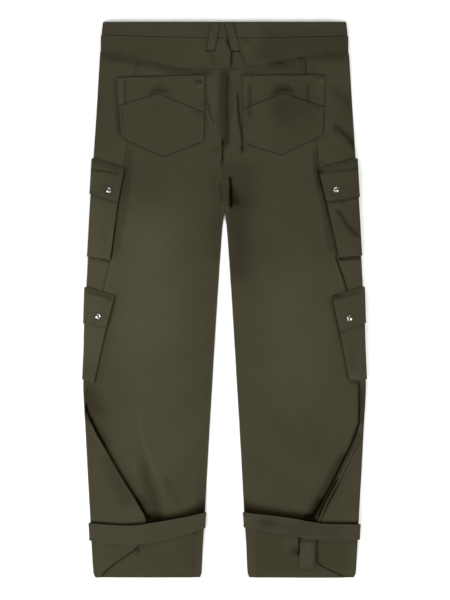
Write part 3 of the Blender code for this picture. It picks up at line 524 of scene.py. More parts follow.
        (((-152, 396), (-140, 403), (-129, 408), (-114, 403), (-104, 396)), -0.9, 8, 3.0, -0.36, 0.3),
        (((-138, 404), (-129, 406), (-121, 403)), -0.6, 3.5, 1.8, -0.22, 0.3),
        (((86, 394), (100, 402), (114, 410), (128, 405), (140, 398)), -0.9, 9, 2.4, -0.40, 0.3),
        (((104, 403), (114, 407), (123, 405)), -0.6, 3.5, 1.8, -0.22, 0.3),
        (((110, 392), (106, 366), (112, 340)), -0.4, 9, 9, -0.10, 0.3),
        (((-202, 428), (-201, 376)), 0.8, 3.0, 3.0, 0.16, 0.12),
        (((-194, 430), (-193, 376)), -0.6, 1.8, 1.8, -0.40, 0.15),
        (((-200, 374), (-196, 318)), -0.5, 2, 2, -0.20, 0.2),
        (((-58, 430), (-50, 424), (-41, 424)), -0.7, 4, 4, -0.50, 0.3),
        (((-54, 416), (-42, 414)), 0.5, 3, 3, 0.20, 0.3),
        (((-70, 372), (-50, 362), (-42, 366)), -0.4, 5, 3, -0.20, 0.3),
        (((162, 424), (162, 400), (167, 378)), -0.5, 2.2, 3.0, -0.34, 0.15),
        (((172, 378), (188, 370)), -0.4, 4, 3, -0.25, 0.2),
        (((51, 428), (49, 388), (50, 345)), -0.7, 4, 4, -0.34, 0.2),
        (((44, 433), (58, 431)), -0.5, 2.4, 2.4, -0.40, 0.3),
        (((180, 433), (196, 433)), -0.5, 2.4, 2.4, -0.50, 0.2),
        (((182, 424), (195, 424)), 0.4, 2.4, 2.4, 0.20, 0.2),
    ),
    # Painted shade lines along the flaps' upper edges and at their rear corners.
    Layer.CARGO: (
        (((-262, 253), (-232, 249), (-203, 243)), -0.9, 1.9, 1.9, -0.50, 0.04),
        (((187, 246), (225, 250), (262, 255)), -0.8, 4.0, 3.0, -0.32, 0.06),
        (((-270, 15.5), (-240, 9), (-219, 3)), -0.6, 1.8, 1.8, -0.35, 0.06),
        (((212, -2), (222, 4), (268, 14)), -0.6, 3, 3, -0.22, 0.1),
        (((209, 6.5), (227, 9)), -0.5, 2.6, 2.6, -0.55, 0.1),
        (((182, 250), (191, 247)), -0.6, 4, 4, -0.65, 0.05),
        (((-228, 0), (-222, -3)), -0.4, 3, 3, -0.35, 0.1),
    ),
    # Painted shadow just below each flap's lower edge; creases in the pockets' faces with painted shade
    # in them and a little painted light.
    Layer.POCKET: (
        (((-264, 204.5), (-234, 193.5), (-206, 185.5)), -0.4, 1.5, 1.4, -0.34, 0.04),
        (((197, 187.5), (264, 197.5)), -0.4, 1.5, 1.4, -0.42, 0.04),
        (((-250, -53), (-229, -56)), -0.2, 1.5, 1.5, -0.20, 0.2),
        (((224, -66), (277, -48)), -0.3, 1.5, 1.4, -0.22, 0.04),
        (((214, 180), (226, 165), (238, 144), (266, 118)), -1.4, 4.4, 3.6, -0.46, 0.15),
        (((222, 184), (232, 196)), -0.5, 6, 6, -0.15, 0.3),
        (((-240, 160), (-232, 110)), -0.6, 9, 9, -0.08, 0.3),
        (((-246, 96), (-226, 94)), -0.5, 3, 3, -0.20, 0.3),
        (((244, -70), (252, -140)), -0.6, 8, 8, -0.08, 0.3),
        (((240, -150), (262, -148)), 0.7, 4, 4, 0.14, 0.2),
    ),
    # Creases on the straps with painted shade in them, a little painted light on a ridge, and broad
    # painted shade over the right strap.
    Layer.STRAP: (
        (((-150, -432), (-128, -468)), -0.5, 6, 6, -0.06, 0.3),
        (((50, -429), (84, -433), (116, -438)), -0.8, 7, 7, -0.20, 0.35),
        (((78, -443), (118, -449)), 0.5, 5, 5, 0.12, 0.3),
        (((60, -440), (240, -450)), 0.0, 22, 22, -0.16, 0.1),
    ),
}
CREASES = [Crease(*row, layer=layer) for layer, rows in FOLDS.items() for row in rows]


# (reach, height of the band of painted shade over the strap's upper edge, where the leg's cloth drops to
# the strap)
STRAP_SHADE = {
    Side.LEFT: Curve(((40, 25), (60, 20), (85, 13), (110, 13), (130, 18), (148, 17), (155, 7),
                      (262, 5.5))),
    Side.RIGHT: Curve(((40, 22), (80, 18), (120, 16), (152, 17), (170, 13), (182, 6.5),
                       (262, 7))),
}
# Share of that height that is fully dark, share over which the painted shade fades out, how far under
# the strap's edge it goes on, and its tone.
STRAP_SHADE_FULL, STRAP_SHADE_FADE, STRAP_SHADE_UNDER, STRAP_SHADE_TONE = 0.2, 1.25, -14.0, -0.9


def above_strap(x: Array, y: Array) -> Array:
    """Gives the height of each point over the strap's upper edge."""
    return y - strap_middle(x) - strap_half(x)


def hollow(x: Array, y: Array) -> Array:
    """Tells how strongly the painted shade over the strap's upper edge covers each place, 0 to 1."""
    above, tall = above_strap(x, y), by_side(STRAP_SHADE, x)
    return fall(above, STRAP_SHADE_FULL * tall, STRAP_SHADE_FADE * tall) * (above > STRAP_SHADE_UNDER)


def summed(what: str, layers: Sequence[Layer], x: Array, y: Array) -> Array:
    """Adds up the "height" or the "tone" of the creases of some layers at each point."""
    total = np.zeros(np.shape(x))
    for crease in CREASES:
        amount = getattr(crease, what)
        if crease.layer in layers and amount:
            total += amount * crease.weight(x, y)
    return total


def relief(x: Array, y: Array, *layers: Layer) -> Array:
    """Gives the height that the creases of some layers add at each point."""
    return summed("height", layers, x, y)


def shading(x: Array, y: Array, layers: Sequence[Layer]) -> Array:
    """Gives the painted shade and light that the creases of some layers add at each point, and on the
    panels the painted shade over the straps.
    """
    painted_deep_shade = STRAP_SHADE_TONE * hollow(x, y) if Layer.PANEL in layers else 0.0
    return summed("tone", layers, x, y) + painted_deep_shade


class Cloth:
    """Height of the laid garment's upper cloth, from which every piece takes its place."""

    BROAD = Unevenness(seed=3, cell=62.0, stretch=1.7)
    FINE = Unevenness(seed=8, cell=17.0, stretch=1.5)
    BROAD_HEIGHT, FINE_HEIGHT, RIM_UNEVEN = 0.55, 0.10, 0.3
    # (start, length) of what lifts the cloth: the front cloth lies close to it, and the upper
    # cloth bridges the hollows between.
    WAIST, STRAP, POCKET = (455.0, 19.0), (23.0, 16.0), (8.0, LIFT_RAMP)
    OUTWARD = (POCKET_FRONT - POCKET_CLEAR - LIFT_RAMP, LIFT_RAMP)
    UPPER_WAIST, UPPER_STRAP, UPPER_POCKET = (400.0, 74.0), (23.0, 60.0), (8.0, 110.0)
    UPPER_OUTWARD = (70.0, POCKET_FRONT - POCKET_CLEAR - 70.0)
    # The swell over the strap: length of its roll and its height, at the inseam and outermost,
    # and the (reach, length) over which they change.
    ROLL, ROLL_REACH = (19.0, 9.0), (60.0, 150.0)
    SWELL, SWELL_REACH = (7.4, 5.4), (70.0, 150.0)
    ROLL_START, SWELL_LENGTH, RIM_SWELL = 0.6, 80.0, 0.5
    SPRING, SPRING_RISE, SPRING_FALL = 0.8, (2.0, 9.0), (13.0, 50.0)
    # The crown is flatter at the waist.
    FLATTER, FLATTER_WAIST = 0.6, (455.0, 40.0)

    @classmethod
    def lift(cls, x: Array, y: Array) -> Array:
        """Gives the height of the front cloth, raised by what lies under it."""
        outward = ramp(np.abs(x), *cls.OUTWARD)
        raised = np.maximum(WAIST_LIFT * ramp(y, *cls.WAIST),
                            STRAP_LIFT * fall(np.abs(y - strap_middle(x)), *cls.STRAP))
        for low, high in POCKET_SPANS:
            near = fall(np.maximum(low - y, y - high), *cls.POCKET)
            raised = np.maximum(raised, POCKET_LIFT * outward * near)
        return raised

    @classmethod
    def upper_lift(cls, x: Array, y: Array) -> Array:
        """Gives how far the upper cloth is raised, bridging the hollows between what lifts it."""
        ends = np.maximum(WAIST_LIFT * ramp(y, *cls.UPPER_WAIST),
                          STRAP_LIFT * fall(np.abs(y - strap_middle(x)), *cls.UPPER_STRAP))
        beyond = np.maximum(POCKET_SPANS[1][0] - y, y - POCKET_SPANS[0][1])
        pocket = (POCKET_LIFT * ramp(np.abs(x), *cls.UPPER_OUTWARD)
                  * fall(beyond, *cls.UPPER_POCKET))
        return np.maximum(cls.lift(x, y), np.maximum(ends, pocket))

    @classmethod
    def ankle(cls, x: Array, y: Array) -> Array:
        """Gives the swell of the leg over the strap's upper edge, and of the hem below it."""
        above, reach = above_strap(x, y), np.abs(x)
        below = -above - 2.0 * strap_half(x)
        roll = mix(*cls.ROLL, ramp(reach, *cls.ROLL_REACH))
        swell = mix(*cls.SWELL, ramp(reach, *cls.SWELL_REACH))
        swell = swell * round_off((above - cls.ROLL_START) / roll) * fall(above, roll, cls.SWELL_LENGTH)
        return swell + cls.SPRING * ramp(below, *cls.SPRING_RISE) * fall(below, *cls.SPRING_FALL)

    @classmethod
    def ground(cls, x: Array, y: Array) -> Array:
        """Gives the height of the back cloth's upper face with the folds of every layer."""
        reach = np.abs(x)
        rim = smooth((outer_edge(y) - reach) / RIM_WIDTH)
        in_leg = ramp(y, INSEAM_START_Y, -INSEAM_RAMP)
        fullness = 1.0 - in_leg * fall(reach, inner_edge(y), INSEAM_ROUND)
        crown = CROWN * rim * (1.0 - cls.FLATTER * ramp(y, *cls.FLATTER_WAIST))
        swell = cls.ankle(x, y) * mix(cls.RIM_SWELL, 1.0, rim)
        loft = SEAM_LOFT + (EDGE_LOFT - SEAM_LOFT + crown + swell) * fullness
        uneven = cls.BROAD_HEIGHT * cls.BROAD(x, y) + cls.FINE_HEIGHT * cls.FINE(x, y)
        uneven = uneven * fullness * mix(cls.RIM_UNEVEN, 1.0, rim)
        return cls.upper_lift(x, y) + 2.0 * CLOTH + loft + relief(x, y, Layer.ALL) + uneven

    @classmethod
    def panel(cls, x: Array, y: Array) -> Array:
        """Gives the height of the back, side and yoke panels, with their own creases."""
        return cls.ground(x, y) + relief(x, y, Layer.PANEL)


# ---- Walls of cloth ---------------------------------------------------------------------

@dataclass(frozen=True)
class Hem:
    """Turned and stitched edge of a piece.

    Args:
        width: How far in the turned cloth makes it thicker.
        height: By how much.
        rows: Distances of its stitch rows from the edge.
        groove: How deep the rows are drawn in.
        low_y, high_y: Heights between which it is there.
        bands: Bands of painted shade and light along it: distance from the edge, half width and tone.
    """

    width: float = 0.0
    height: float = 0.0
    rows: tuple[float, ...] = ()
    groove: float = 0.4
    low_y: float = -1e4
    high_y: float = 1e4
    # By default a line of painted shade along the cut edge, and a faint pale line beside it, partly
    # painted highlight and partly wear.
    bands: tuple[tuple[float, float, float], ...] = ((0.0, 0.7, -0.25), (1.3, 0.7, 0.10))

    # Distances of the points that round the edge off, and the closest that others may be
    ROUND, FIRST, CLOSEST = (0.0, 0.12, 0.5, 1.1), 0.12, 0.3
    STEP_DOWN, STEP_POINT, FADE_Y = 1.3, 1.2, 12.0
    GROOVE_WIDTH, GROOVE_SLOPE = 0.75, 0.9

    def distances(self) -> list[float]:
        """Lists the distances from the edge at which its shape needs points."""
        found = list(self.ROUND)
        for row in self.rows:
            found += [row - self.GROOVE_WIDTH, row, row + self.GROOVE_WIDTH]
        if self.width:
            found += [self.width, self.width + self.STEP_POINT]
        for centre, half, _ in self.bands:
            found += [centre + half * share for share in (-1.0, 0.0, 1.0, 2.0)
                      if centre + half * share > self.ROUND[-1]]
        kept = [0.0]
        for distance in sorted(found):
            if distance in self.rows:
                while len(kept) > 1 and distance - kept[-1] < self.CLOSEST:
                    kept.pop()
                kept.append(distance)
            elif distance - kept[-1] > self.CLOSEST or distance == self.FIRST:
                kept.append(distance)
        return kept

    def index(self, row: float) -> int:
        """Gives the position of a stitch row among the distances."""
        return int(np.argmin(np.abs(np.array(self.distances()) - row)))

    def here(self, y: Array) -> Array:
        """Tells where it is there, 0 to 1."""
        return ramp(y, self.low_y, self.FADE_Y) * ramp(y, self.high_y, -self.FADE_Y)

    def rise(self, distance: Array) -> Array:
        """Gives how much thicker the cloth is at a distance from the edge."""
        return self.height * (1.0 - ramp(distance, self.width, self.STEP_DOWN))

    def shade(self, distance: Array) -> Array:
        """Gives the painted shade and light that its bands add to the cloth's tone."""
        return sum((tone * np.exp(-((distance - centre) / half) ** 2)
                    for centre, half, tone in self.bands), 0.0 * distance)

    def drawn(self, distance: Array) -> Array:
        """Gives how deep the stitches draw the cloth in."""
        depth, width = np.zeros(np.shape(distance)), self.GROOVE_SLOPE * self.GROOVE_WIDTH
        for row in self.rows:
            depth = np.maximum(depth, np.exp(-((distance - row) / width) ** 2))
        return self.groove * depth


PLAIN = Hem()
# Edges of a sewn-on piece: painted shade along its cut edge, and a pale line on the fold beside it,
# partly painted highlight and partly wear. SOFT is a weaker copy; SEAMED is the painted shade alone.
SHADED = ((0.0, 1.0, -0.45), (1.9, 0.7, 0.10))
SOFT = ((0.0, 1.0, -0.15), (1.9, 0.7, 0.04))
SEAMED = ((0.0, 0.9, -0.45),)


def stations(length: float, step: float, near: Hem = PLAIN, far: Hem = PLAIN,
             pace: Sequence[tuple[float, float]] = ((0.0, 1.0),)) -> Array:
    """Spreads points along a length, close together where its two hems need it.

    Args:
        length: Length to cover.
        step: Distance between two points away from the hems.
        near, far: Hems at its start and end.
        pace: Distances from the start and what the step is multiplied by there.

    Returns:
        Distances from the start.
    """
    samples = 400
    first, last = near.distances(), far.distances()
    at = np.linspace(first[-1], length - last[-1], samples)
    steps = np.interp(at[1:], *zip(*pace)) * step
    passed = np.concatenate([[0.0], np.cumsum(np.diff(at) / steps)])
    count = max(2, math.ceil(passed[-1]))
    middle = np.interp(np.linspace(0.0, passed[-1], count + 1)[1:-1], passed, at)
    return np.concatenate([first, middle, length - np.array(last[::-1])])


def refit(template: Array, length: float, lengths: Array, near: Hem, far: Hem) -> Array:
    """Refits stations to other lengths, keeping the distances from both ends where they fit.

    Args:
        template: Stations along the first length.
        length: That length.
        lengths: New lengths, one for each line.
        near, far: Hems at the start and end.

    Returns:
        Array of lines by stations.
    """
    first, last = near.distances()[-1], far.distances()[-1]
    share = np.clip((template - first) / (length - first - last), 0.0, 1.0)
    held = np.maximum(lengths, first + last + 1.0)[:, None]
    from_end = length - template
    fixed_start, fixed_end = template <= first, from_end <= last
    out = first + share[None, :] * (held - first - last)
    out[:, fixed_start] = template[fixed_start]
    out[:, fixed_end] = held - from_end[fixed_end]
    return out * np.asarray(lengths)[:, None] / held


def walked(points: Array, axis: int) -> Array:
    """Gives each point's distance along its row or column of a grid."""
    steps = np.linalg.norm(np.diff(points, axis=axis), axis=-1)
    start = np.zeros_like(np.take(steps, [0], axis=axis))
    return np.cumsum(np.concatenate([start, steps], axis=axis), axis=axis)


def add_piece(name: str, points: Array, faces: Array,
              material: bpy.types.Material) -> bpy.types.Object:
    """Makes a smooth mesh of points in millimetres and puts it in the scene."""
    mesh = bpy.data.meshes.new(name)
    mesh.from_pydata((points * MM).tolist(), [], faces.tolist())
    mesh.materials.append(material)
    mesh.shade_smooth()
    piece = bpy.data.objects.new(name, mesh)
    bpy.context.scene.collection.objects.link(piece)
    return piece


@dataclass
class StitchLine:
    """Line that stitches follow.

    Args:
        points: Its points.
        normals: Direction out of the cloth at each.
        trim: Length left without stitches at both ends.
    """

    points: Array
    normals: Array
    trim: tuple[float, float] = (3.0, 3.0)


@dataclass
class Wall:
    """Closed wall of cloth between an outer and an inner grid of points.

    Args:
        name: Name of the solid that it stands for.
        grids: Its outer and inner grid of points (rows, columns, 3), both in the same order.
        hems: Hem along each edge that has one.
        layers: Layers whose creases paint their shade and light on it.
        ring: Whether the last column joins on to the first.
    """

    name: str
    grids: tuple[Array, Array]
    hems: dict[Edge, Hem] = field(default_factory=dict)
    layers: tuple[Layer, ...] = (Layer.ALL, Layer.PANEL)
    ring: bool = False

    # Height and reach of the small waves that the seams draw into the cloth
    RIPPLE, PUCKER, PUCKER_REACH = Unevenness(seed=21, cell=6.5), 0.16, 7.0
    EDGE_ROUND = 1.0
    # Limits of the tone, painted shade in the drawn-in stitch rows, and painted light and shade on the
    # puckers by their height.
    TONES, DRAWN_TONE, RIPPLE_TONE = (0.04, 1.6), -0.45, 0.5
    # Bar tack: distance between its stitches, half their length and where they take their height
    TACK_PITCH, TACK_HALF, TACK_NEAR = 1.1, 1.9, 2.5

    def __post_init__(self) -> None:
        """Rounds the edges, raises the hems, draws the stitch rows in and works out the tone: the
        painted shade and light of the creases, the hems' bands, the stitch rows and the puckers.
        """
        self.outer, self.inner = self.grids
        distances = self.distances()
        thick = np.linalg.norm(self.outer - self.inner, axis=-1)
        away = (self.outer - self.inner) / thick[..., None]
        x, y = self.outer[..., 0], self.outer[..., 1]
        rise, drawn, close = np.zeros(x.shape), np.zeros(x.shape), np.zeros(x.shape)
        full, tone = np.ones(x.shape), shading(x, y, self.layers)
        for edge, distance in distances.items():
            hem = self.hems.get(edge, PLAIN)
            here = hem.here(y)
            rise = np.maximum(rise, hem.rise(distance) * here)
            drawn = np.maximum(drawn, hem.drawn(distance) * here)
            full = full * round_off(distance / self.EDGE_ROUND)
            tone += mix(PLAIN.shade(distance), hem.shade(distance), here)
            if hem.rows:
                close = np.maximum(close, np.exp(-(distance / self.PUCKER_REACH) ** 2) * here)
        ripple = self.PUCKER * close * self.RIPPLE(x, y)
        self.tone = np.clip(1.0 + tone + self.DRAWN_TONE * drawn + self.RIPPLE_TONE * ripple,
                            *self.TONES)
        middle = (self.outer + self.inner) / 2.0
        half = (thick / 2.0 * full)[..., None]
        self.outer = middle + away * (half + ((rise - drawn + ripple) * full)[..., None])
        self.inner = middle - away * half
        self.outer[..., 2] = np.maximum(self.outer[..., 2], 0.0)

    def distances(self) -> dict[Edge, Array]:
        """Gives each point's distance from the four edges."""
        down, across = walked(self.outer, 0), walked(self.outer, 1)
        found = {Edge.TOP: down, Edge.BOTTOM: down[-1:] - down}
        if not self.ring:
            found |= {Edge.START: across, Edge.END: across[:, -1:] - across}
        return found

    def line(self, edge: Edge, row: float, trim: tuple[float, float] = (3.0, 3.0)) -> StitchLine:
        """Gives the line of a stitch row at an edge."""
        index = self.hems[edge].index(row)
        pick = {Edge.TOP: np.s_[index], Edge.BOTTOM: np.s_[-1 - index],
                Edge.START: np.s_[:, index], Edge.END: np.s_[:, -1 - index]}[edge]
        away = self.outer - self.inner
        length = np.maximum(np.linalg.norm(away, axis=-1, keepdims=True), 1e-6)
        return StitchLine(self.outer[pick], (away / length)[pick], trim)

    def lines(self, *edges: Edge, trim: tuple[float, float] = (3.0, 3.0)) -> list[StitchLine]:
        """Gives the lines of every stitch row at edges that have the same rows."""
        return [self.line(edge, row, trim) for row in self.hems[edges[0]].rows for edge in edges]

    def tack(self, x: float, y: float, width: float, turn: float) -> list[StitchLine]:
        """Lays out a bar tack: stitches side by side across a bar at an angle in degrees."""
        along = np.array([math.cos(math.radians(turn)), math.sin(math.radians(turn))])
        across = self.TACK_HALF * np.array([-along[1], along[0]])
        lines = []
        for offset in np.arange(-width / 2.0, width / 2.0 + 0.1, self.TACK_PITCH):
            middle = np.array([x, y]) + along * offset
            away = np.hypot(*(self.outer[..., :2] - middle).reshape(-1, 2).T)
            top = float(np.where(away < self.TACK_NEAR, self.outer[..., 2].ravel(), 0.0).max())
            ends = np.array([[*(middle - across), top], [*(middle + across), top]])
            lines.append(StitchLine(ends, np.array([[0.0, 0.0, 1.0]] * 2), (0.1, 0.1)))
        return lines

    def tacks(self, places: Sequence[tuple[float, float, float, float]]) -> list[StitchLine]:
        """Lays out the bar tacks at some places, each (x, y, width, angle)."""
        return [line for place in places for line in self.tack(*place)]

    def build(self, material: bpy.types.Material) -> bpy.types.Object:
        """Makes the piece: a closed shell whose edges are shared by its two faces."""
        rows, columns = self.outer.shape[:2]
        number = np.arange(rows * columns).reshape(rows, columns)
        border = np.zeros((rows, columns), bool)
        border[[0, -1]] = True
        if not self.ring:
            border[:, [0, -1]] = True
        inner_number = number.copy()
        inner_number[~border] = rows * columns + np.arange((~border).sum())

        def both(outer: Array, inner: Array) -> Array:
            """Joins values of the outer face with the inner face's own, inside its border."""
            return np.concatenate([outer.reshape(-1, *outer.shape[2:]), inner[~border]])

        def quads(index: Array) -> Array:
            """Lists the corners of the faces of a grid of point numbers."""
            if self.ring:
                index = np.concatenate([index, index[:, :1]], axis=1)
            corners = (index[:-1, :-1], index[:-1, 1:], index[1:, 1:], index[1:, :-1])
            return np.stack(corners, axis=-1).reshape(-1, 4)

        points = both(self.outer, self.inner)
        outside, inside = quads(number), quads(inner_number)
        a, b, d = (points[outside[:, k]] for k in (0, 1, 3))
        out = (self.outer - self.inner).reshape(-1, 3)[outside[:, 0]]
        if np.sum(np.cross(b - a, d - a) * out) < 0.0:
            outside = outside[:, ::-1]
        else:
            inside = inside[:, ::-1]
        piece = add_piece(self.name + "_cloth", points, np.concatenate([outside, inside]), material)
        flat = np.stack([walked(self.outer, 1), self.outer[..., 1]], axis=-1)
        loops = np.empty(len(piece.data.loops), int)
        piece.data.loops.foreach_get("vertex_index", loops)
        spots = both(flat, flat)[loops] * MM
        cloth = piece.data.uv_layers.new(name="cloth")
        cloth.data.foreach_set("uv", spots.astype(np.float32).ravel())
        tone = piece.data.attributes.new("tone", "FLOAT", "POINT")
        tone.data.foreach_set("value", both(self.tone, self.tone).astype(np.float32))
        piece.data.validate()
        return piece


@dataclass
class Wrap:
    """Row of cloth that goes round the garment's outer edge, from its front to its rear end.

    Args:
        side: Leg.
        front: Reaches of its points under the garment.
        edge: Reach of the turn.
        cap: Longest reach of the turn's round.
        walls: Thickness at its front and at its rear.
        low, high: Heights of its faces under and over the garment.
        front_y: Its y under the garment, at each reach.
        rear_y: Its y over the garment, at each x and share of the way to its rear end.
    """

    side: Side
    front: Sequence[float]
    edge: float
    cap: float
    walls: tuple[float, float]
    low: Height
    high: Height
    front_y: Callable[[Array], Array]
    rear_y: Callable[[Array, Array], Array]

    ARC = 9

    def turn(self) -> tuple[float, float, float, float]:
        """Gives the reach where the round starts, its y, and the heights that it joins."""
        at = np.array([self.side.value * self.edge])
        y = self.front_y(at)
        low, high = float(self.low(at, y)[0]), float(self.high(at, y)[0])
        return self.edge - min((high - low) / 2.0, self.cap), float(y[0]), low, high

    def points(self, end: float, along: Array) -> tuple[Array, Array]:
        """Lays the row out.

        Args:
            end: Reach of its rear end.
            along: Shares of the way from the turn to that end.

        Returns:
            Its outer and its inner points.
        """
        sign = self.side.value
        start, turn_y, low, high = self.turn()
        half, reach = (high - low) / 2.0, self.edge - start
        x = sign * np.array([*self.front, start])
        y = self.front_y(x)
        z = self.low(x, y)
        outer, inner = [np.stack([x, y, z], -1)], [np.stack([x, y, z + self.walls[0]], -1)]
        step = np.arange(1, self.ARC) / self.ARC
        angle = np.pi * (step - 0.5)
        thick = mix(*self.walls, step)
        for found, less in ((outer, 0.0), (inner, thick)):
            x = sign * (start + (reach - less) * np.cos(angle))
            z = low + half + (half - less) * np.sin(angle)
            found.append(np.stack([x, np.full(x.shape, turn_y), z], -1))
        x = sign * mix(start, end, along)
        y = self.rear_y(x, along)
        z = self.high(x, y)
        outer.append(np.stack([x, y, z], -1))
        inner.append(np.stack([x, y, z - self.walls[1]], -1))
        return np.concatenate(outer), np.concatenate(inner)

    def hemmed(self, end: float, step: float, typical: float, hem: Hem) -> tuple[Array, Array]:
        """Lays the row out with points where the hem at its rear end needs them.

        Args:
            end: Reach of its rear end.
            step: Distance between two points away from the hem.
            typical: Usual length from the turn to that end, which sets the number of points.
            hem: Hem at that end.

        Returns:
            Its outer and its inner points.
        """
        length = self.turn()[0] - end
        template = stations(typical, step, PLAIN, hem)
        along = refit(template, typical, np.array([length]), PLAIN, hem)[0]
        return self.points(end, along / length)


def stack_rows(rows: Sequence[tuple[Array, Array]]) -> tuple[Array, Array]:
    """Joins rows of outer and inner points into two grids."""
    return np.stack([row[0] for row in rows]), np.stack([row[1] for row in rows])


def laid(x: Array, y: Array, under: Height, thickness: float) -> tuple[Array, Array]:
    """Gives the outer and inner grid of a flat piece whose lower face is at under(x, y)."""
    z = under(x, y)
    return np.stack([x, y, z + thickness], -1), np.stack([x, y, z], -1)


# ---- Finishes ---------------------------------------------------------------------------

def linear(code: str) -> tuple[float, float, float, float]:
    """Turns a hex sRGB colour into linear RGBA."""
    parts = [int(code[k:k + 2], 16) / 255.0 for k in (1, 3, 5)]
    return (*(p / 12.92 if p <= 0.04045 else ((p + 0.055) / 1.055) ** 2.4 for p in parts), 1.0)


def add_node(tree: bpy.types.NodeTree, kind: str, inputs: dict | None = None,
             **settings: object) -> bpy.types.Node:
    """Adds a node to a material.

    Args:
        tree: The material's tree.
        kind: Type of the node.
        inputs: What each of its sockets gets: a value or another node's output.
        settings: Its own options.

    Returns:
        The node.
    """
    made = tree.nodes.new(kind)
    for option, value in settings.items():
        setattr(made, option, value)
    for socket, value in (inputs or {}).items():
        if isinstance(value, bpy.types.NodeSocket):
            tree.links.new(value, made.inputs[socket])
        else:
            made.inputs[socket].default_value = value
    return made


def spread(tree: bpy.types.NodeTree, value: bpy.types.NodeSocket, low: float, high: float,
           span: tuple[float, float] = (0.0, 1.0)) -> bpy.types.NodeSocket:
    """Maps the values of a span on to the range from low to high."""
    node = add_node(tree, "ShaderNodeMapRange", {"Value": value, "From Min": span[0],
                    "From Max": span[1], "To Min": low, "To Max": high})
    return node.outputs["Result"]


def scaled(tree: bpy.types.NodeTree, colour: object, tone: bpy.types.NodeSocket,
           target: bpy.types.NodeSocket) -> None:
    """Sends a colour, multiplied by a tone, to a socket."""
    node = add_node(tree, "ShaderNodeVectorMath", {0: colour, "Scale": tone}, operation="SCALE")
    tree.links.new(node.outputs["Vector"], target)


def blank(name: str) -> tuple[bpy.types.Material, bpy.types.NodeTree, bpy.types.Node]:
    """Starts a material and gives it with its tree and its shader."""
    material = bpy.data.materials.new(name)
    material.use_nodes = True
    return material, material.node_tree, material.node_tree.nodes["Principled BSDF"]


@dataclass(frozen=True)
class Twill:
    """Washed cotton twill in olive.

    Args:
        name: Name of the material.
        colour: Its mean colour.
        wale: Distance between two of its diagonal ribs.
    """

    name: str
    colour: str
    wale: float = 1.5

    # What the colour's red and blue are multiplied by in the deepest painted shade
    REDDER, LESS_BLUE = 1.25, 0.55

    def build(self) -> bpy.types.Material:
        """Makes the material."""
        material, tree, shader = blank(self.name)
        cloth = add_node(tree, "ShaderNodeUVMap", uv_map="cloth").outputs["UV"]
        # Diagonal ribs of the weave, drawn about twice as coarse as real ones so that they show.
        wave_scale = 0.628 / (self.wale * MM * math.sqrt(2.0))
        ribs = add_node(tree, "ShaderNodeTexWave", {"Vector": cloth, "Scale": wave_scale,
                        "Distortion": 1.2, "Detail": 2.0, "Detail Scale": 1.5},
                        wave_type="BANDS", bands_direction="DIAGONAL").outputs["Fac"]
        # Uneven dye of washed cotton: broad soft patches and a fine mottle of the yarn.
        patches = add_node(tree, "ShaderNodeTexNoise", {"Vector": cloth, "Scale": 16.0,
                           "Detail": 3.0, "Roughness": 0.55}).outputs["Fac"]
        mottle = add_node(tree, "ShaderNodeTexNoise", {"Vector": cloth, "Scale": 420.0,
                          "Detail": 4.0, "Roughness": 0.7}).outputs["Fac"]
        # Tone of the place, from the tone attribute: painted shade in creases, hollows and along edges,
        # and painted light on ridges and folds, with some wear along edges.
        place = add_node(tree, "ShaderNodeAttribute", attribute_name="tone")
        tone = total = place.outputs["Fac"]
        for part in (spread(tree, patches, 0.93, 1.07, (0.25, 0.75)),
                     spread(tree, mottle, 0.92, 1.08, (0.3, 0.7)), spread(tree, ribs, 0.95, 1.04)):
            total = add_node(tree, "ShaderNodeMath", {0: total, 1: part},
                             operation="MULTIPLY").outputs[0]
        # Painted shade colour: where the tone is low the colour turns browner, standing in for light
        # that has met the cloth before it reaches a deep crease.
        painted_shade_share = add_node(tree, "ShaderNodeMath", {0: tone, 1: 1.4}, operation="MULTIPLY",
                       use_clamp=True)
        red, green, blue, alpha = linear(self.colour)
        painted_deep_shade = (self.REDDER * red, green, self.LESS_BLUE * blue, alpha)
        hue = add_node(tree, "ShaderNodeMix", {0: painted_shade_share.outputs[0], 6: painted_deep_shade,
                       7: (red, green, blue, alpha)}, data_type="RGBA")
        scaled(tree, hue.outputs[2], total, shader.inputs["Base Color"])
        # Ribs and yarn stand up a little, so the cloth looks matt and grainy up close.
        height = add_node(tree, "ShaderNodeMath", {0: ribs, 1: mottle}, operation="ADD")
        bump = add_node(tree, "ShaderNodeBump", {"Height": height.outputs[0], "Strength": 0.35,
                        "Distance": 0.25 * MM})
        tree.links.new(bump.outputs["Normal"], shader.inputs["Normal"])
        # Matt cotton: hardly any gloss, and a faint sheen of its fuzz.
        for socket, value in (("Roughness", 0.9), ("Specular IOR Level", 0.02),
                              ("Sheen Weight", 0.02), ("Sheen Roughness", 0.5),
                              ("Sheen Tint", linear("#B8B090"))):
            shader.inputs[socket].default_value = value
        return material


@dataclass(frozen=True)
class Thread:
    """Matching polyester sewing thread, a little paler and smoother than the cloth."""

    name: str = "olive_thread"
    colour: str = "#312E20"

    def build(self) -> bpy.types.Material:
        """Makes the material."""
        material, tree, shader = blank(self.name)
        place = add_node(tree, "ShaderNodeTexCoord").outputs["Object"]
        # Twist of the thread and dye that took unevenly from stitch to stitch.
        twist = add_node(tree, "ShaderNodeTexNoise", {"Vector": place, "Scale": 300.0})
        scaled(tree, linear(self.colour)[:3], spread(tree, twist.outputs["Fac"], 0.8, 1.2),
               shader.inputs["Base Color"])
        shader.inputs["Roughness"].default_value = 0.6
        return material


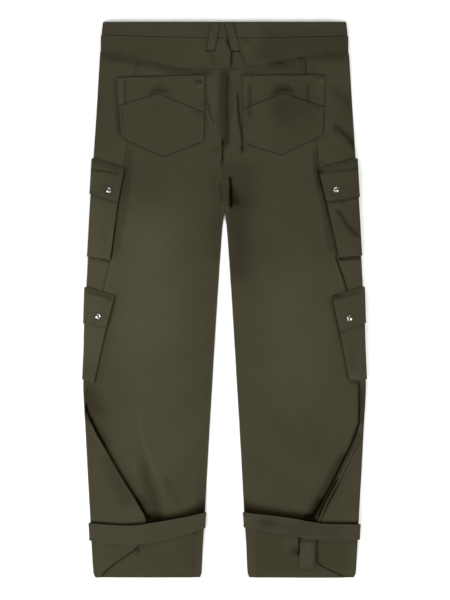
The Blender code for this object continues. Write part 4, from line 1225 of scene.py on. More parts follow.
@dataclass(frozen=True)
class Nickel:
    """Polished nickel plate of the snaps and the button."""

    name: str = "polished_nickel"
    colour: str = "#D2CFC8"
    # Dark colour painted on the cap's slopes, standing in for what they mirror
    shade: str = "#3A3933"

    def build(self) -> bpy.types.Material:
        """Makes the material."""
        material, tree, shader = blank(self.name)
        place = add_node(tree, "ShaderNodeTexCoord").outputs
        # Fine handling marks that break up the highlights.
        marks = add_node(tree, "ShaderNodeTexNoise", {"Vector": place["Object"], "Scale": 900.0,
                         "Detail": 3.0})
        dull = spread(tree, marks.outputs["Fac"], 0.14, 0.3)
        tree.links.new(dull, shader.inputs["Roughness"])
        # Painted reflection: the cap's slopes, by how far their normal leans from upright, are given the
        # dark colour in place of the dark cloth and room that they mirror, so they read as a dark ring.
        upright = add_node(tree, "ShaderNodeSeparateXYZ", {"Vector": place["Normal"]}).outputs["Z"]
        level = add_node(tree, "ShaderNodeMath", {0: upright}, operation="ABSOLUTE")
        painted_reflection_share = spread(tree, level.outputs[0], 0.0, 1.0, (1.0, 0.7))
        plate = add_node(tree, "ShaderNodeMix", {0: painted_reflection_share, 6: linear(self.colour),
                         7: linear(self.shade)}, data_type="RGBA")
        tree.links.new(plate.outputs[2], shader.inputs["Base Color"])
        shader.inputs["Metallic"].default_value = 1.0
        return material


@dataclass
class Palette:
    """Materials of the garment."""

    twill: bpy.types.Material
    trim: bpy.types.Material
    thread: bpy.types.Material
    pale_thread: bpy.types.Material
    nickel: bpy.types.Material

    @classmethod
    def make(cls) -> "Palette":
        """Builds every material."""
        return cls(Twill("olive_twill", "#373427").build(),
                   Twill("olive_twill_trim", "#373428").build(),
                   Thread().build(), Thread("pale_thread", "#47432F").build(), Nickel().build())


# ---- Stitching --------------------------------------------------------------------------

class Bench:
    """Small set of modelling steps for hard pieces, as they are done by hand."""

    @staticmethod
    def start(name: str, sides: int, radius: float, depth: float) -> bpy.types.Object:
        """Starts a piece from a cylinder and opens it for editing."""
        bpy.ops.object.select_all(action="DESELECT")
        bpy.ops.mesh.primitive_cylinder_add(vertices=sides, radius=radius, depth=depth)
        piece = bpy.context.object
        piece.name = piece.data.name = name
        bpy.ops.object.mode_set(mode="EDIT")
        bpy.ops.mesh.select_mode(type="FACE")
        return piece

    @staticmethod
    def pick_end(piece: bpy.types.Object, sign: float = 1.0) -> None:
        """Selects the upper end of the piece, or the lower one with a sign of -1."""
        bpy.ops.object.mode_set(mode="OBJECT")
        for polygon in piece.data.polygons:
            polygon.select = polygon.normal.z * sign > 0.9
        bpy.ops.object.mode_set(mode="EDIT")

    @staticmethod
    def draw_out(along: float, scale: float) -> None:
        """Extrudes the selected face along Z and scales its new end."""
        bpy.ops.mesh.extrude_region_move(TRANSFORM_OT_translate={"value": (0.0, 0.0, along)})
        bpy.ops.transform.resize(value=(scale, scale, 1.0))

    @staticmethod
    def turn(axis: str, degrees: float) -> None:
        """Turns the whole piece about an axis through its origin."""
        bpy.ops.mesh.select_all(action="SELECT")
        bpy.ops.transform.rotate(value=math.radians(degrees), orient_axis=axis,
                                 center_override=(0.0, 0.0, 0.0))

    @staticmethod
    def finish() -> None:
        """Closes the piece and leaves it."""
        bpy.ops.mesh.select_all(action="SELECT")
        bpy.ops.mesh.remove_doubles(threshold=1e-6)
        bpy.ops.mesh.normals_make_consistent(inside=False)
        bpy.ops.object.mode_set(mode="OBJECT")


@dataclass(frozen=True)
class MetalCap:
    """Round metal cap, drawn out of a disc ring by ring.

    Args:
        radius, depth: Size of the disc.
        rings: How far each ring is drawn out and what it is scaled by.
        turned: Whether its face looks at the floor.
    """

    radius: float
    depth: float
    rings: tuple[tuple[float, float], ...]
    turned: bool = False

    SIDES, SMOOTH_ANGLE = 32, 60.0

    def build(self, node: str, name: str, nickel: bpy.types.Material) -> None:
        """Models the cap and puts it in its solid's place."""
        piece = Bench.start(name, self.SIDES, self.radius, self.depth)
        Bench.pick_end(piece)
        for along, scale in self.rings:
            Bench.draw_out(along, scale)
        if self.turned:
            Bench.turn("X", 180.0)
        Bench.finish()
        bpy.ops.object.shade_smooth_by_angle(angle=math.radians(self.SMOOTH_ANGLE))
        low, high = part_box(node)
        points = np.array([v.co for v in piece.data.vertices], float)
        points[:, 2] -= points[:, 2].min()
        points = points * MM + ((low.x + high.x) / 2.0, (low.y + high.y) / 2.0, low.z)
        piece.data.vertices.foreach_set("co", points.ravel())
        piece.location = (0.0, 0.0, 0.0)
        piece.data.update()
        piece.data.materials.append(nickel)
        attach(piece, "root")
        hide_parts(node)
        log.info("%s: metal cap", node)


@dataclass(frozen=True)
class Stitch:
    """One lockstitch: a short bead of thread that dips into the cloth at both ends.

    Args:
        length: Between the points where it enters the cloth.
        pitch: From one stitch to the next.
        radius: Half of its thickness.
        tip: Length of the tapered end.
        taper: What the thread is scaled by there.
        dip: Share of the radius by which the tip sinks.
    """

    length: float = 2.7
    pitch: float = 3.4
    radius: float = 0.3
    tip: float = 0.5
    taper: float = 0.45
    dip: float = 0.30

    @cache
    def shape(self) -> tuple[Array, Array]:
        """Models the stitch along X and gives its points and faces."""
        body = self.length - 2.0 * self.tip
        piece = Bench.start("stitch", 4, self.radius, body)
        for sign in (1.0, -1.0):
            Bench.pick_end(piece, sign)
            Bench.draw_out(sign * self.tip, self.taper)
        Bench.turn("Y", 90.0)
        Bench.finish()
        mesh = piece.data
        points = np.array([v.co for v in mesh.vertices], float)
        points[:, 2] -= self.dip * self.radius * (np.abs(points[:, 0]) > body / 2.0 + 0.1)
        faces = np.array([list(p.vertices) for p in mesh.polygons], int)
        bpy.data.objects.remove(piece, do_unlink=True)
        bpy.data.meshes.remove(mesh)
        return points, faces


@dataclass
class Stitching:
    """Rows of stitches of one piece, copied from one stitch.

    Args:
        name: Name of their mesh.
        lines: Lines that they follow.
    """

    name: str
    lines: Sequence[StitchLine]

    STITCH = Stitch()
    # How far a stitch may be from its place, and how far round it the line's direction is read
    STRAY, AROUND = 0.18, 0.8

    def places(self, line: StitchLine, random: np.random.Generator) -> tuple[Array, ...]:
        """Gives the middle, direction and normal of each stitch of a line."""
        along = walked(line.points, 0)
        count = int((along[-1] - sum(line.trim)) / self.STITCH.pitch)
        if count < 1:
            return (np.zeros((0, 3)),) * 3
        at = line.trim[0] + (np.arange(count) + 0.5) * self.STITCH.pitch
        at = at + random.uniform(-self.STRAY, self.STRAY, count)

        def read(values: Array, where: Array) -> Array:
            """Reads values at distances along the line."""
            return np.stack([np.interp(where, along, values[:, k]) for k in range(3)], -1)

        ahead = read(line.points, at + self.AROUND) - read(line.points, at - self.AROUND)
        ahead /= np.linalg.norm(ahead, axis=1, keepdims=True)
        normal = read(line.normals, at)
        normal -= ahead * np.sum(normal * ahead, axis=1, keepdims=True)
        normal /= np.linalg.norm(normal, axis=1, keepdims=True)
        return read(line.points, at), ahead, normal

    def build(self, thread: bpy.types.Material) -> bpy.types.Object:
        """Copies the stitch along every line and makes one mesh of them."""
        random = np.random.default_rng(len(self.name))
        found = [self.places(line, random) for line in self.lines]
        middle, ahead, normal = (np.concatenate(part) for part in zip(*found))
        shape, faces = self.STITCH.shape()
        turned = np.stack([ahead, np.cross(normal, ahead), normal], axis=1)
        points = middle[:, None] + np.einsum("pk,skc->spc", shape, turned)
        numbers = faces[None] + len(shape) * np.arange(len(middle))[:, None, None]
        piece = add_piece(self.name, points.reshape(-1, 3),
                          numbers.reshape(-1, faces.shape[1]), thread)
        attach(piece, "root")
        log.info("%s: %d stitches", self.name, len(middle))
        return piece


def declare(wall: Wall, piece: bpy.types.Object) -> None:
    """Attaches a finished cloth piece to the garment and hides the solid that it stands for.

    Args:
        wall: Its two faces.
        piece: The object made of it.
    """
    middle = (wall.outer + wall.inner) / 2.0
    if wall.ring:
        middle = np.concatenate([middle, middle[:, :1]], axis=1)
    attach(piece, "root")
    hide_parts(wall.name)


def put_on(wall: Wall, palette: Palette, rests_on: Sequence[str],
           lines: Sequence[StitchLine] = (), tacks: Sequence[StitchLine] = (), label: str = "",
           trim: bool = False) -> None:
    """Makes a cloth piece with its stitching and puts them in their place.

    Args:
        wall: Its two faces.
        palette: Materials.
        rests_on: Names of what it lies on; not used.
        lines, tacks: Lines of its stitch rows and of its bar tacks.
        label: What its stitching is named after, if not after the wall.
        trim: Whether it is cut from the cloth of the trim.
    """
    piece = wall.build(palette.trim if trim else palette.twill)
    label = label or wall.name
    sewn = [Stitching(kind + label, found).build(thread)
            for kind, found, thread in (("stitches_", lines, palette.thread),
                                        ("tacks_", tacks, palette.pale_thread)) if found]
    declare(wall, piece)


# ---- Panels -----------------------------------------------------------------------------

# Distance between two points across a narrow piece
CLOSE_STEP = 2.4


@dataclass
class Panels:
    """Back, side, front and yoke panels of both legs.

    Args:
        palette: Materials.
        step: Distance between two points.
        fine: Distance between two rows where the leg swells over the ankle strap.
    """

    palette: Palette
    step: float = 3.3
    fine: float = 1.6

    HEM = Hem(width=10.0, height=0.25, rows=(9.0,), groove=0.25, bands=())
    # Pleat folds: a pale line of painted highlight along the left one; on the right, painted shade in
    # the strip along its edge, a painted highlight on its fold 8 mm in and a painted shadow line just
    # past it.
    SIDE_HEM = {
        Side.LEFT: Hem(width=7.6, height=0.4, rows=(6.6,), groove=0.3, high_y=-220.0,
                       bands=((1.0, 0.9, 0.22),)),
        Side.RIGHT: Hem(width=8.4, height=1.2, rows=(6.4,), groove=0.3, high_y=-250.0,
                        bands=((3.6, 4.2, -0.44), (8.3, 0.8, 0.80), (10.8, 1.4, -0.55))),
    }
    # Below the strap the right back panel lies on top; its fold shows as a pale line of painted
    # highlight.
    BACK_EDGE = {Side.LEFT: PLAIN, Side.RIGHT: Hem(high_y=-455.0, bands=((1.2, 0.9, 0.40),))}
    # Painted shade in a broad band along the yoke's lower edge.
    YOKE_HEM = Hem(rows=(1.6,), groove=0.2, bands=((0.0, 5.0, -0.16),))
    CENTRE_HEM = Hem(width=6.6, height=0.3, rows=(1.6, 6.0), groove=0.4, low_y=CROTCH_Y)
    # Lengths without stitches: the inseam, and the side seams from the hip to the pleats
    CENTRE_TRIM = (4.0, 720.0)
    SIDE_TRIM = {Side.LEFT: (700.0, 4.0), Side.RIGHT: (700.0, 95.0)}
    # Rows are closer together at the seat and the pockets than on the plain of the leg, and
    # closest over the strap. Where two runs of rows meet, the close points of the end go.
    ROW_PACE = ((0, 0.72), (300, 0.72), (340, 1.0), (450, 1.5), (600, 1.5), (690, 0.8))
    FINE_ROWS, CLOSE_POINTS = (-380.0, -436.0), 4
    # Side panel: its columns under the garment, what its step is scaled by, its usual length
    SIDE_COLUMNS, SIDE_PACE = 6, 0.9
    # Columns are closer together at the centre back and at the outer seam.
    COLUMN_PACE = ((0, 0.6), (42, 0.6), (60, 1.5), (125, 1.5), (150, 0.8), (220, 0.7))
    SIDE_LENGTH = 75.0
    FRONT_STEP, FRONT_ROWS, FRONT_LIFTED = 9.0, 150, (474.0, 440.0, 8)
    YOKE_MIDDLE_Y, YOKE_HEIGHT, YOKE_COLUMN, YOKE_LIFT, YOKE_END = 497.0, 44.0, 201.0, 0.3, 8.0

    def rows(self) -> Array:
        """Gives the rows of the leg's panels, from the yoke seam to the hem."""
        first, last = self.FINE_ROWS
        upper = YOKE_ROW - stations(YOKE_ROW - first, self.step, PLAIN, PLAIN, self.ROW_PACE)
        upper = upper[:-self.CLOSE_POINTS]
        middle = np.arange(upper[-1] - self.fine, last, -self.fine)
        lower = middle[-1] - stations(middle[-1] - HEM_ROW, self.step, PLAIN, self.HEM)
        return np.concatenate([upper, middle, lower[self.CLOSE_POINTS:]])

    def centre_x(self, side: Side, y: Array) -> Array:
        """Gives x of the centre back seam, and of the inseam below the crotch."""
        seam = centre_back(y) + side.value * SEAM
        return np.where(y >= CROTCH_Y, seam, side.value * np.maximum(inner_edge(y), SEAM))

    def back(self, side: Side) -> Wall:
        """Lays the back panel out."""
        rows = self.rows()
        near = np.array([float(settled(lambda y: self.centre_x(side, y), row)) for row in rows])
        far = np.array([float(settled(lambda y: side.value * (back_reach[side](y) - SEAM), row))
                        for row in rows])
        lengths = np.abs(far - near)
        typical = float(lengths.mean())
        hem, edge = self.CENTRE_HEM if side is Side.RIGHT else PLAIN, self.BACK_EDGE[side]
        template = stations(typical, self.step, hem, edge, self.COLUMN_PACE)
        x = near[:, None] + side.value * refit(template, typical, lengths, hem, edge)

        def under(px: Array, py: Array) -> Array:
            """Gives the height of its lower face."""
            over = hem_lap(side, px, py)
            beneath = relief(px, py, Layer.BACK) * (1.0 - over)
            return Cloth.panel(px, py) - CLOTH + beneath + (CLOTH + OVERLAY) * over

        return Wall("back_" + side.label, laid(x, cloth_y(x, rows[:, None] + 0.0 * x), under, CLOTH),
                    {Edge.BOTTOM: self.HEM, Edge.START: hem, Edge.END: edge},
                    (Layer.ALL, Layer.PANEL, Layer.BACK))

    def side(self, side: Side) -> Wall:
        """Lays the side panel out, from its front seam round to the back seam or the pleat."""
        top = float(yoke_seam(side.value * outer_edge(YOKE_ROW)))
        hem = self.SIDE_HEM[side]
        found = []
        for row in self.rows():
            turn_x = settled(lambda y: side.value * outer_edge(y), row, top)
            edge = float(outer_edge(cloth_y(turn_x, row, top)))
            end_x = float(settled(lambda y: side.value * (side_reach[side](y) + SEAM), row))
            raised = float(lap(side, cloth_y(end_x, row), False))

            def high(px: Array, py: Array, raised: float = raised) -> Array:
                """Gives the height of its upper face."""
                own = relief(px, py, Layer.PLEAT)
                return Cloth.panel(px, py) + raised * (DOUBLE + OVERLAY + own)

            front = np.linspace(FRONT_SEAM + SEAM, SIDE_COLUMN, self.SIDE_COLUMNS)
            wrap = Wrap(side, front, edge, FOLD_CAP, (CLOTH, mix(CLOTH, DOUBLE, raised)),
                        Cloth.lift, high,
                        lambda px, row=row: cloth_y(px, row, top),
                        lambda px, _, row=row: cloth_y(px, row))
            found.append(wrap.hemmed(abs(end_x), self.SIDE_PACE * self.step, self.SIDE_LENGTH, hem))
        return Wall("side_" + side.label, stack_rows(found), {Edge.BOTTOM: self.HEM, Edge.END: hem},
                    (Layer.ALL, Layer.PANEL, Layer.PLEAT))

    def front(self, side: Side) -> Wall:
        """Lays the front panel out, flat but for what lifts it."""
        rows = np.concatenate([[WAIST_Y], np.linspace(*self.FRONT_LIFTED)[:-1],
                               np.linspace(self.FRONT_LIFTED[1], HEM_ROW, self.FRONT_ROWS)])
        shares = stations(FRONT_SEAM, self.FRONT_STEP) / FRONT_SEAM
        found_x, found_y = [], []
        for row in rows:
            near = settled(lambda y: side.value * np.maximum(
                np.where(y < CROTCH_Y, inner_edge(y), 0.0), SEAM), row, YOKE_ROW)
            x = mix(near, side.value * (FRONT_SEAM - SEAM), shares)
            found_x.append(x)
            found_y.append(waist_seam(x) - SEAM if row == WAIST_Y else cloth_y(x, row, YOKE_ROW))
        grids = laid(np.stack(found_x), np.stack(found_y), Cloth.lift, CLOTH)
        return Wall("front_" + side.label, grids, layers=())

    def yoke(self, side: Side) -> Wall:
        """Lays the yoke out, from the centre back seam round the side to the front seam."""
        edge = float(outer_edge(self.YOKE_MIDDLE_Y))
        found = []
        for level in stations(self.YOKE_HEIGHT, CLOSE_STEP, self.YOKE_HEM) / self.YOKE_HEIGHT:
            def level_y(x: Array, seam_x: Array, level: float = level) -> Array:
                """Gives y between the yoke seam, read at seam_x, and the waist seam."""
                return mix(yoke_seam(seam_x) + 0.5 * SEAM, waist_seam(x) - SEAM, level)

            def high(px: Array, py: Array, level: float = level) -> Array:
                """Gives the height of its upper face."""
                return Cloth.panel(px, py) + self.YOKE_LIFT * (1.0 - level)

            end_y = level_y(self.YOKE_END, self.YOKE_END)
            front = np.linspace(FRONT_SEAM + SEAM, self.YOKE_COLUMN, self.SIDE_COLUMNS)
            wrap = Wrap(side, front, edge, FOLD_CAP, (CLOTH, CLOTH), Cloth.lift, high,
                        lambda px: level_y(px, side.value * edge), lambda px, _: level_y(px, px))
            found.append(wrap.hemmed(side.value * float(self.centre_x(side, end_y)), self.step,
                                     edge, self.CENTRE_HEM))
        return Wall("yoke_" + side.label, stack_rows(found),
                    {Edge.TOP: self.YOKE_HEM, Edge.END: self.CENTRE_HEM})

    def build(self) -> None:
        """Makes the four panels of both legs with their stitching."""
        for side in Side:
            front, back, outside, yoke = (lay_out(side) for lay_out in (
                self.front, self.back, self.side, self.yoke))
            put_on(front, self.palette, ["floor"])
            leg = [front.name + "_cloth"]
            put_on(back, self.palette, leg,
                   back.lines(Edge.BOTTOM) + back.lines(Edge.START, trim=self.CENTRE_TRIM))
            put_on(outside, self.palette, leg, lines=outside.lines(Edge.BOTTOM)
                   + outside.lines(Edge.END, trim=self.SIDE_TRIM[side]))
            put_on(yoke, self.palette, leg, yoke.lines(Edge.TOP))


# ---- Waistband, belt loops, fly and button ----------------------------------------------

@dataclass
class Waist:
    """Waistband, its six belt loops, the fly placket and the button under it."""

    palette: Palette

    # Painted shade along the band's edges.
    BAND_HEM = Hem(rows=(2.4,), groove=0.2, bands=((0.0, 0.8, -0.15),))
    BAND_WIDTH, BAND_COLUMNS = 30.0, 80
    BAND_FRONT = (SEAM, *np.linspace(10.0, 222.0, 24))
    # The band's upper corners are eased in over the last share of its height.
    CORNER_IN, CORNER_FROM = 1.2, (0.9, 0.1)
    # Loops: painted shade and a pale line along their sides, and darker painted shade across their foot.
    LOOP_HEM = Hem(width=4.0, height=0.3, rows=(2.2,), groove=0.25, bands=SHADED)
    LOOP_END = Hem(bands=((0.3, 1.4, -0.75),))
    LOOP_WIDTH, LOOP_THICK, LOOP_TOP, LOOP_FOOT = 17.0, 1.8, 539.0, 483.0
    LOOP_STEP, LOOP_SEATED, LOOP_SEAT_RAMP = 2.0, 0.55, 3.0
    PLAIN_WIDTH, PLAIN_THICK = 14.0, 2.6
    BACK_ENDS = {Side.LEFT: (-17.7, -28.0), Side.RIGHT: (8.0, 21.5)}
    TACKS = {Side.LEFT: ((-27.0, 516.0, 3.4, 0.0), (-24.5, 496.0, 3.4, 0.0)),
             Side.RIGHT: ((18.5, 515.0, 3.4, 0.0), (19.5, 496.0, 3.4, 0.0))}
    PLAIN_REACHES = {"front": 110.0, "side": 226.0}
    FLY_WIDTH, FLY_THICK, FLY_TOP, FLY_LENGTH, FLY_STEP = 38.0, 1.0, 505.0, 160.0, 5.0
    BUTTON = MetalCap(6.8, 0.5, ((0.4, 1.16), (0.6, 1.05), (0.5, 0.95), (0.3, 0.9), (-0.3, 0.9),
                                 (-0.3, 0.7), (0.2, 0.4)), turned=True)

    def seat(self, x: Array, y: Array) -> Array:
        """Gives the height of the waistband's upper face."""
        return Cloth.ground(x, y) + FLAP_SLACK

    def on_band(self, x: Array, y: Array) -> Array:
        """Gives the height of a back loop's lower face, which sits closer below the band."""
        seated = self.LOOP_SEATED * smooth((waist_seam(x) - y) / self.LOOP_SEAT_RAMP)
        return self.seat(x, y) + OVERLAY - seated

    def band(self) -> Wall:
        """Lays the waistband out, a folded band that closes at the centre front."""
        levels = stations(self.BAND_WIDTH, CLOSE_STEP, self.BAND_HEM, self.BAND_HEM)
        found = []
        for level in levels / self.BAND_WIDTH:
            def band_y(x: Array, level: float = level) -> Array:
                """Gives y at this level of the band."""
                return mix(waist_seam(x) + 2.0 * SEAM, WAIST_Y, level)

            halves = []
            for side in Side:
                edge = float(outer_edge(band_y(side.value * outer_edge(WAIST_Y))))
                edge -= self.CORNER_IN * float(ramp(level, *self.CORNER_FROM))
                wrap = Wrap(side, self.BAND_FRONT, edge, FOLD_CAP, (BAND, BAND), Cloth.lift,
                            self.seat, band_y, lambda px, _: band_y(px))
                halves.append(wrap.points(0.0, np.linspace(0.0, 1.0, self.BAND_COLUMNS)))
            found.append(tuple(np.concatenate([left, right[-2::-1]])
                               for left, right in zip(*halves)))
        return Wall("waistband", stack_rows(found),
                    {Edge.TOP: self.BAND_HEM, Edge.BOTTOM: self.BAND_HEM}, (Layer.ALL,))

    def strip(self, name: str, top_x: float, foot_x: float, width: float, under: Height,
              thickness: float) -> Wall:
        """Lays a loop out as a straight strip between the middles of its two ends."""
        across = stations(width, self.LOOP_STEP, self.LOOP_HEM, self.LOOP_HEM) - width / 2.0
        length = math.hypot(top_x - foot_x, self.LOOP_TOP - self.LOOP_FOOT)
        down = stations(length, CLOSE_STEP, PLAIN, self.LOOP_END)[:, None] / length
        x = mix(top_x, foot_x, down) + across[None, :]
        y = mix(self.LOOP_TOP, self.LOOP_FOOT, down) + 0.0 * x
        hems = {Edge.START: self.LOOP_HEM, Edge.END: self.LOOP_HEM, Edge.BOTTOM: self.LOOP_END}
        return Wall(name, laid(x, y, under, thickness), hems, (Layer.ALL,))

    def build(self) -> None:
        """Makes the waistband, loops, fly placket and button with their stitching."""
        band = self.band()
        put_on(band, self.palette, ["yoke_left_cloth", "yoke_right_cloth"],
               band.lines(Edge.TOP, Edge.BOTTOM), trim=True)
        for side in Side:
            loop = self.strip("belt_loop_back_" + side.label, *self.BACK_ENDS[side],
                              self.LOOP_WIDTH, self.on_band, self.LOOP_THICK)
            put_on(loop, self.palette, ["waistband_cloth"], loop.lines(Edge.START, Edge.END),
                   loop.tacks(self.TACKS[side]), label="loop_back_" + side.label, trim=True)
            for place, reach in self.PLAIN_REACHES.items():
                middle = side.value * reach
                loop = self.strip(f"belt_loop_{place}_{side.label}", middle, middle,
                                  self.PLAIN_WIDTH, lambda x, y: 0.0 * x, self.PLAIN_THICK)
                put_on(loop, self.palette, ["floor"], trim=True)
        across = stations(self.FLY_WIDTH, self.FLY_STEP) - self.FLY_WIDTH / 2.0
        x, y = np.meshgrid(across, self.FLY_TOP - stations(self.FLY_LENGTH, self.FLY_STEP))
        fly = laid(x, y, lambda px, py: Cloth.lift(px, py) + CLOTH + 2.0 * SEAM, self.FLY_THICK)
        put_on(Wall("fly_placket", fly, layers=()), self.palette,
               ["front_left_cloth", "front_right_cloth"])
        self.BUTTON.build("waist_button", "waist_button_face", self.palette.nickel)


# ---- Back pockets -----------------------------------------------------------------------

@dataclass
class BackPockets:
    """Back patch pockets, each cut in two at a chevron seam."""

    palette: Palette
    step: float = 2.2

    # Painted shade along the pockets' edges and their chevron seams, softer on the right pocket's sides
    # and at the mouths.
    SEWN = Hem(width=7.4, height=0.3, rows=(1.8, 6.6), groove=0.25, bands=SHADED)
    FAINT = Hem(width=7.4, height=0.3, rows=(1.8, 6.6), groove=0.2, bands=SOFT)
    MOUTH = Hem(width=9.0, height=0.4, rows=(8.0,), groove=0.2, bands=SOFT)
    CHEVRON = Hem(width=7.0, height=0.4, rows=(1.6, 6.4), groove=0.3, bands=SEAMED)
    JOINED = Hem(bands=SEAMED)
    SIDE_TRIM = (1.5, 1.5)
    # (x, y, width, angle) of the bar tacks
    TACKS = {Side.LEFT: ((-46.0, 417.0, 4.0, 0.0), (-43.0, 431.0, 4.0, 20.0)),
             Side.RIGHT: ((48.0, 432.0, 5.0, 0.0), (186.0, 424.0, 8.0, 0.0),
                          (131.0, 419.0, 5.0, 0.0))}
    # Lines nearest the centre, through the tip, and outermost: x and y at top, chevron, bottom.
    LINES = {
        Side.LEFT: ((-38, 437, -39.2, 363.5, -40.6, 309), (-122, 434.5, -128.9, 401, -119, 279),
                    (-210.6, 432, -207.3, 377.5, -200.9, 315)),
        Side.RIGHT: ((34.3, 436, 35.6, 371, 37.6, 305), (114, 436.6, 114.1, 402.7, 110.4, 282.6),
                     (195.4, 437, 193.4, 375, 191.1, 321)),
    }

    def lines(self, side: Side) -> Array:
        """Gives the pocket's vertical lines at every station across it."""
        table = np.array(self.LINES[side], float)
        width = abs(table[2, 0] - table[0, 0])
        tip = abs(table[1, 0] - table[0, 0])
        at = stations(width, self.step, self.SEWN, self.SEWN)
        at[np.argmin(np.abs(at - tip))] = tip
        return np.stack([np.interp(at, (0.0, tip, width), table[:, k]) for k in range(6)], -1)

    def half(self, side: Side, upper: bool) -> Wall:
        """Lays out the part of the pocket above or below the chevron."""
        top, chevron, foot = np.split(self.lines(side), 3, axis=1)
        if upper:
            foot, near, far = chevron + (0.0, SEAM), self.MOUTH, self.JOINED
        else:
            top, near, far = chevron - (0.0, SEAM), self.CHEVRON, self.SEWN
        lengths = top[:, 1] - foot[:, 1]
        typical = float(lengths.mean())
        template = stations(typical, self.step, near, far)
        share = (refit(template, typical, lengths, near, far) / lengths[:, None]).T
        x, y = (mix(top[None, :, k], foot[None, :, k], share) for k in (0, 1))

        def under(px: Array, py: Array) -> Array:
            """Gives the height of its lower face."""
            return Cloth.ground(px, py) + PATCH_GAP + relief(px, py, Layer.PATCH)

        sides = self.SEWN if side is Side.LEFT else self.FAINT
        hems = {Edge.TOP: near, Edge.BOTTOM: far, Edge.START: sides, Edge.END: sides}
        return Wall(f"back_pocket_{'upper' if upper else 'lower'}_{side.label}",
                    laid(x, y, under, CLOTH), hems, (Layer.ALL, Layer.PATCH))

    def build(self) -> None:
        """Makes both pockets and their stitching."""
        for side in Side:
            for upper in (True, False):
                wall = self.half(side, upper)
                lines = []
                for row in self.SEWN.rows:
                    lines += [wall.line(edge, row, self.SIDE_TRIM) for edge in (Edge.START, Edge.END)]
                    if not upper:
                        lines.append(wall.line(Edge.BOTTOM, row))
                put_on(wall, self.palette, [f"back_{side.label}_cloth"],
                       lines + wall.lines(Edge.TOP), wall.tacks(self.TACKS[side]) if upper else ())


# ---- Cargo pockets ----------------------------------------------------------------------

@dataclass(frozen=True)
class CargoPlan:
    """Outline of a cargo pocket.

    Args:
        place: Its place on the leg.
        side: Leg.
        top, flap, bottom: Heights at the outer edge of its top seam, the flap's foot and its own.
        top_corner, flap_corner, bottom_corner: (reach, y) of their rear corners.
    """

    place: str
    side: Side
    top: float
    flap: float
    bottom: float
    top_corner: tuple[float, float]
    flap_corner: tuple[float, float]
    bottom_corner: tuple[float, float]

    @property
    def label(self) -> str:
        """Its place and side, as in the names of its pieces."""
        return f"{self.place}_{self.side.label}"

    @property
    def height(self) -> float:
        """Its height at the outer edge."""
        return self.top - self.bottom

    def corner(self, share: float) -> Array:
        """Gives (reach, y) on the rear edge, from its top seam at 0 to its bottom at 1."""
        keys = (0.0, (self.top - self.flap) / self.height, 1.0)
        corners = np.array([self.top_corner, self.flap_corner, self.bottom_corner])
        return np.array([np.interp(share, keys, corners[:, k]) for k in (0, 1)])


CARGO_PLANS = (
    CargoPlan("upper", Side.LEFT, 275, 206, 84, (195, 255.5), (207.7, 188.2), (222.3, 77)),
    CargoPlan("upper", Side.RIGHT, 275, 200, 86, (182.3, 255.5), (198.3, 190.5), (222.7, 81.7)),
    CargoPlan("lower", Side.LEFT, 24.5, -45.4, -155, (214.1, 7.4), (230.1, -53.6), (254, -162.8)),
    CargoPlan("lower", Side.RIGHT, 25.4, -45.4, -154.4, (209.8, 6.8), (224.6, -63.4), (242, -156)),
)


@dataclass(frozen=True)
class Shell:
    """How the face or the flap of a cargo pocket goes round the leg's outer edge.

    Args:
        out: How far it stands out beyond the leg.
        cap: Longest reach of the turn's round.
        inset: How far its rear end lies in from the pocket's corners.
        typical: Usual length from the turn to that end.
        low: Height of its face under the garment.
        hem: Hem at its foot, and at its rear end.
    """

    out: float
    cap: float
    inset: float
    typical: float
    low: float
    hem: Hem


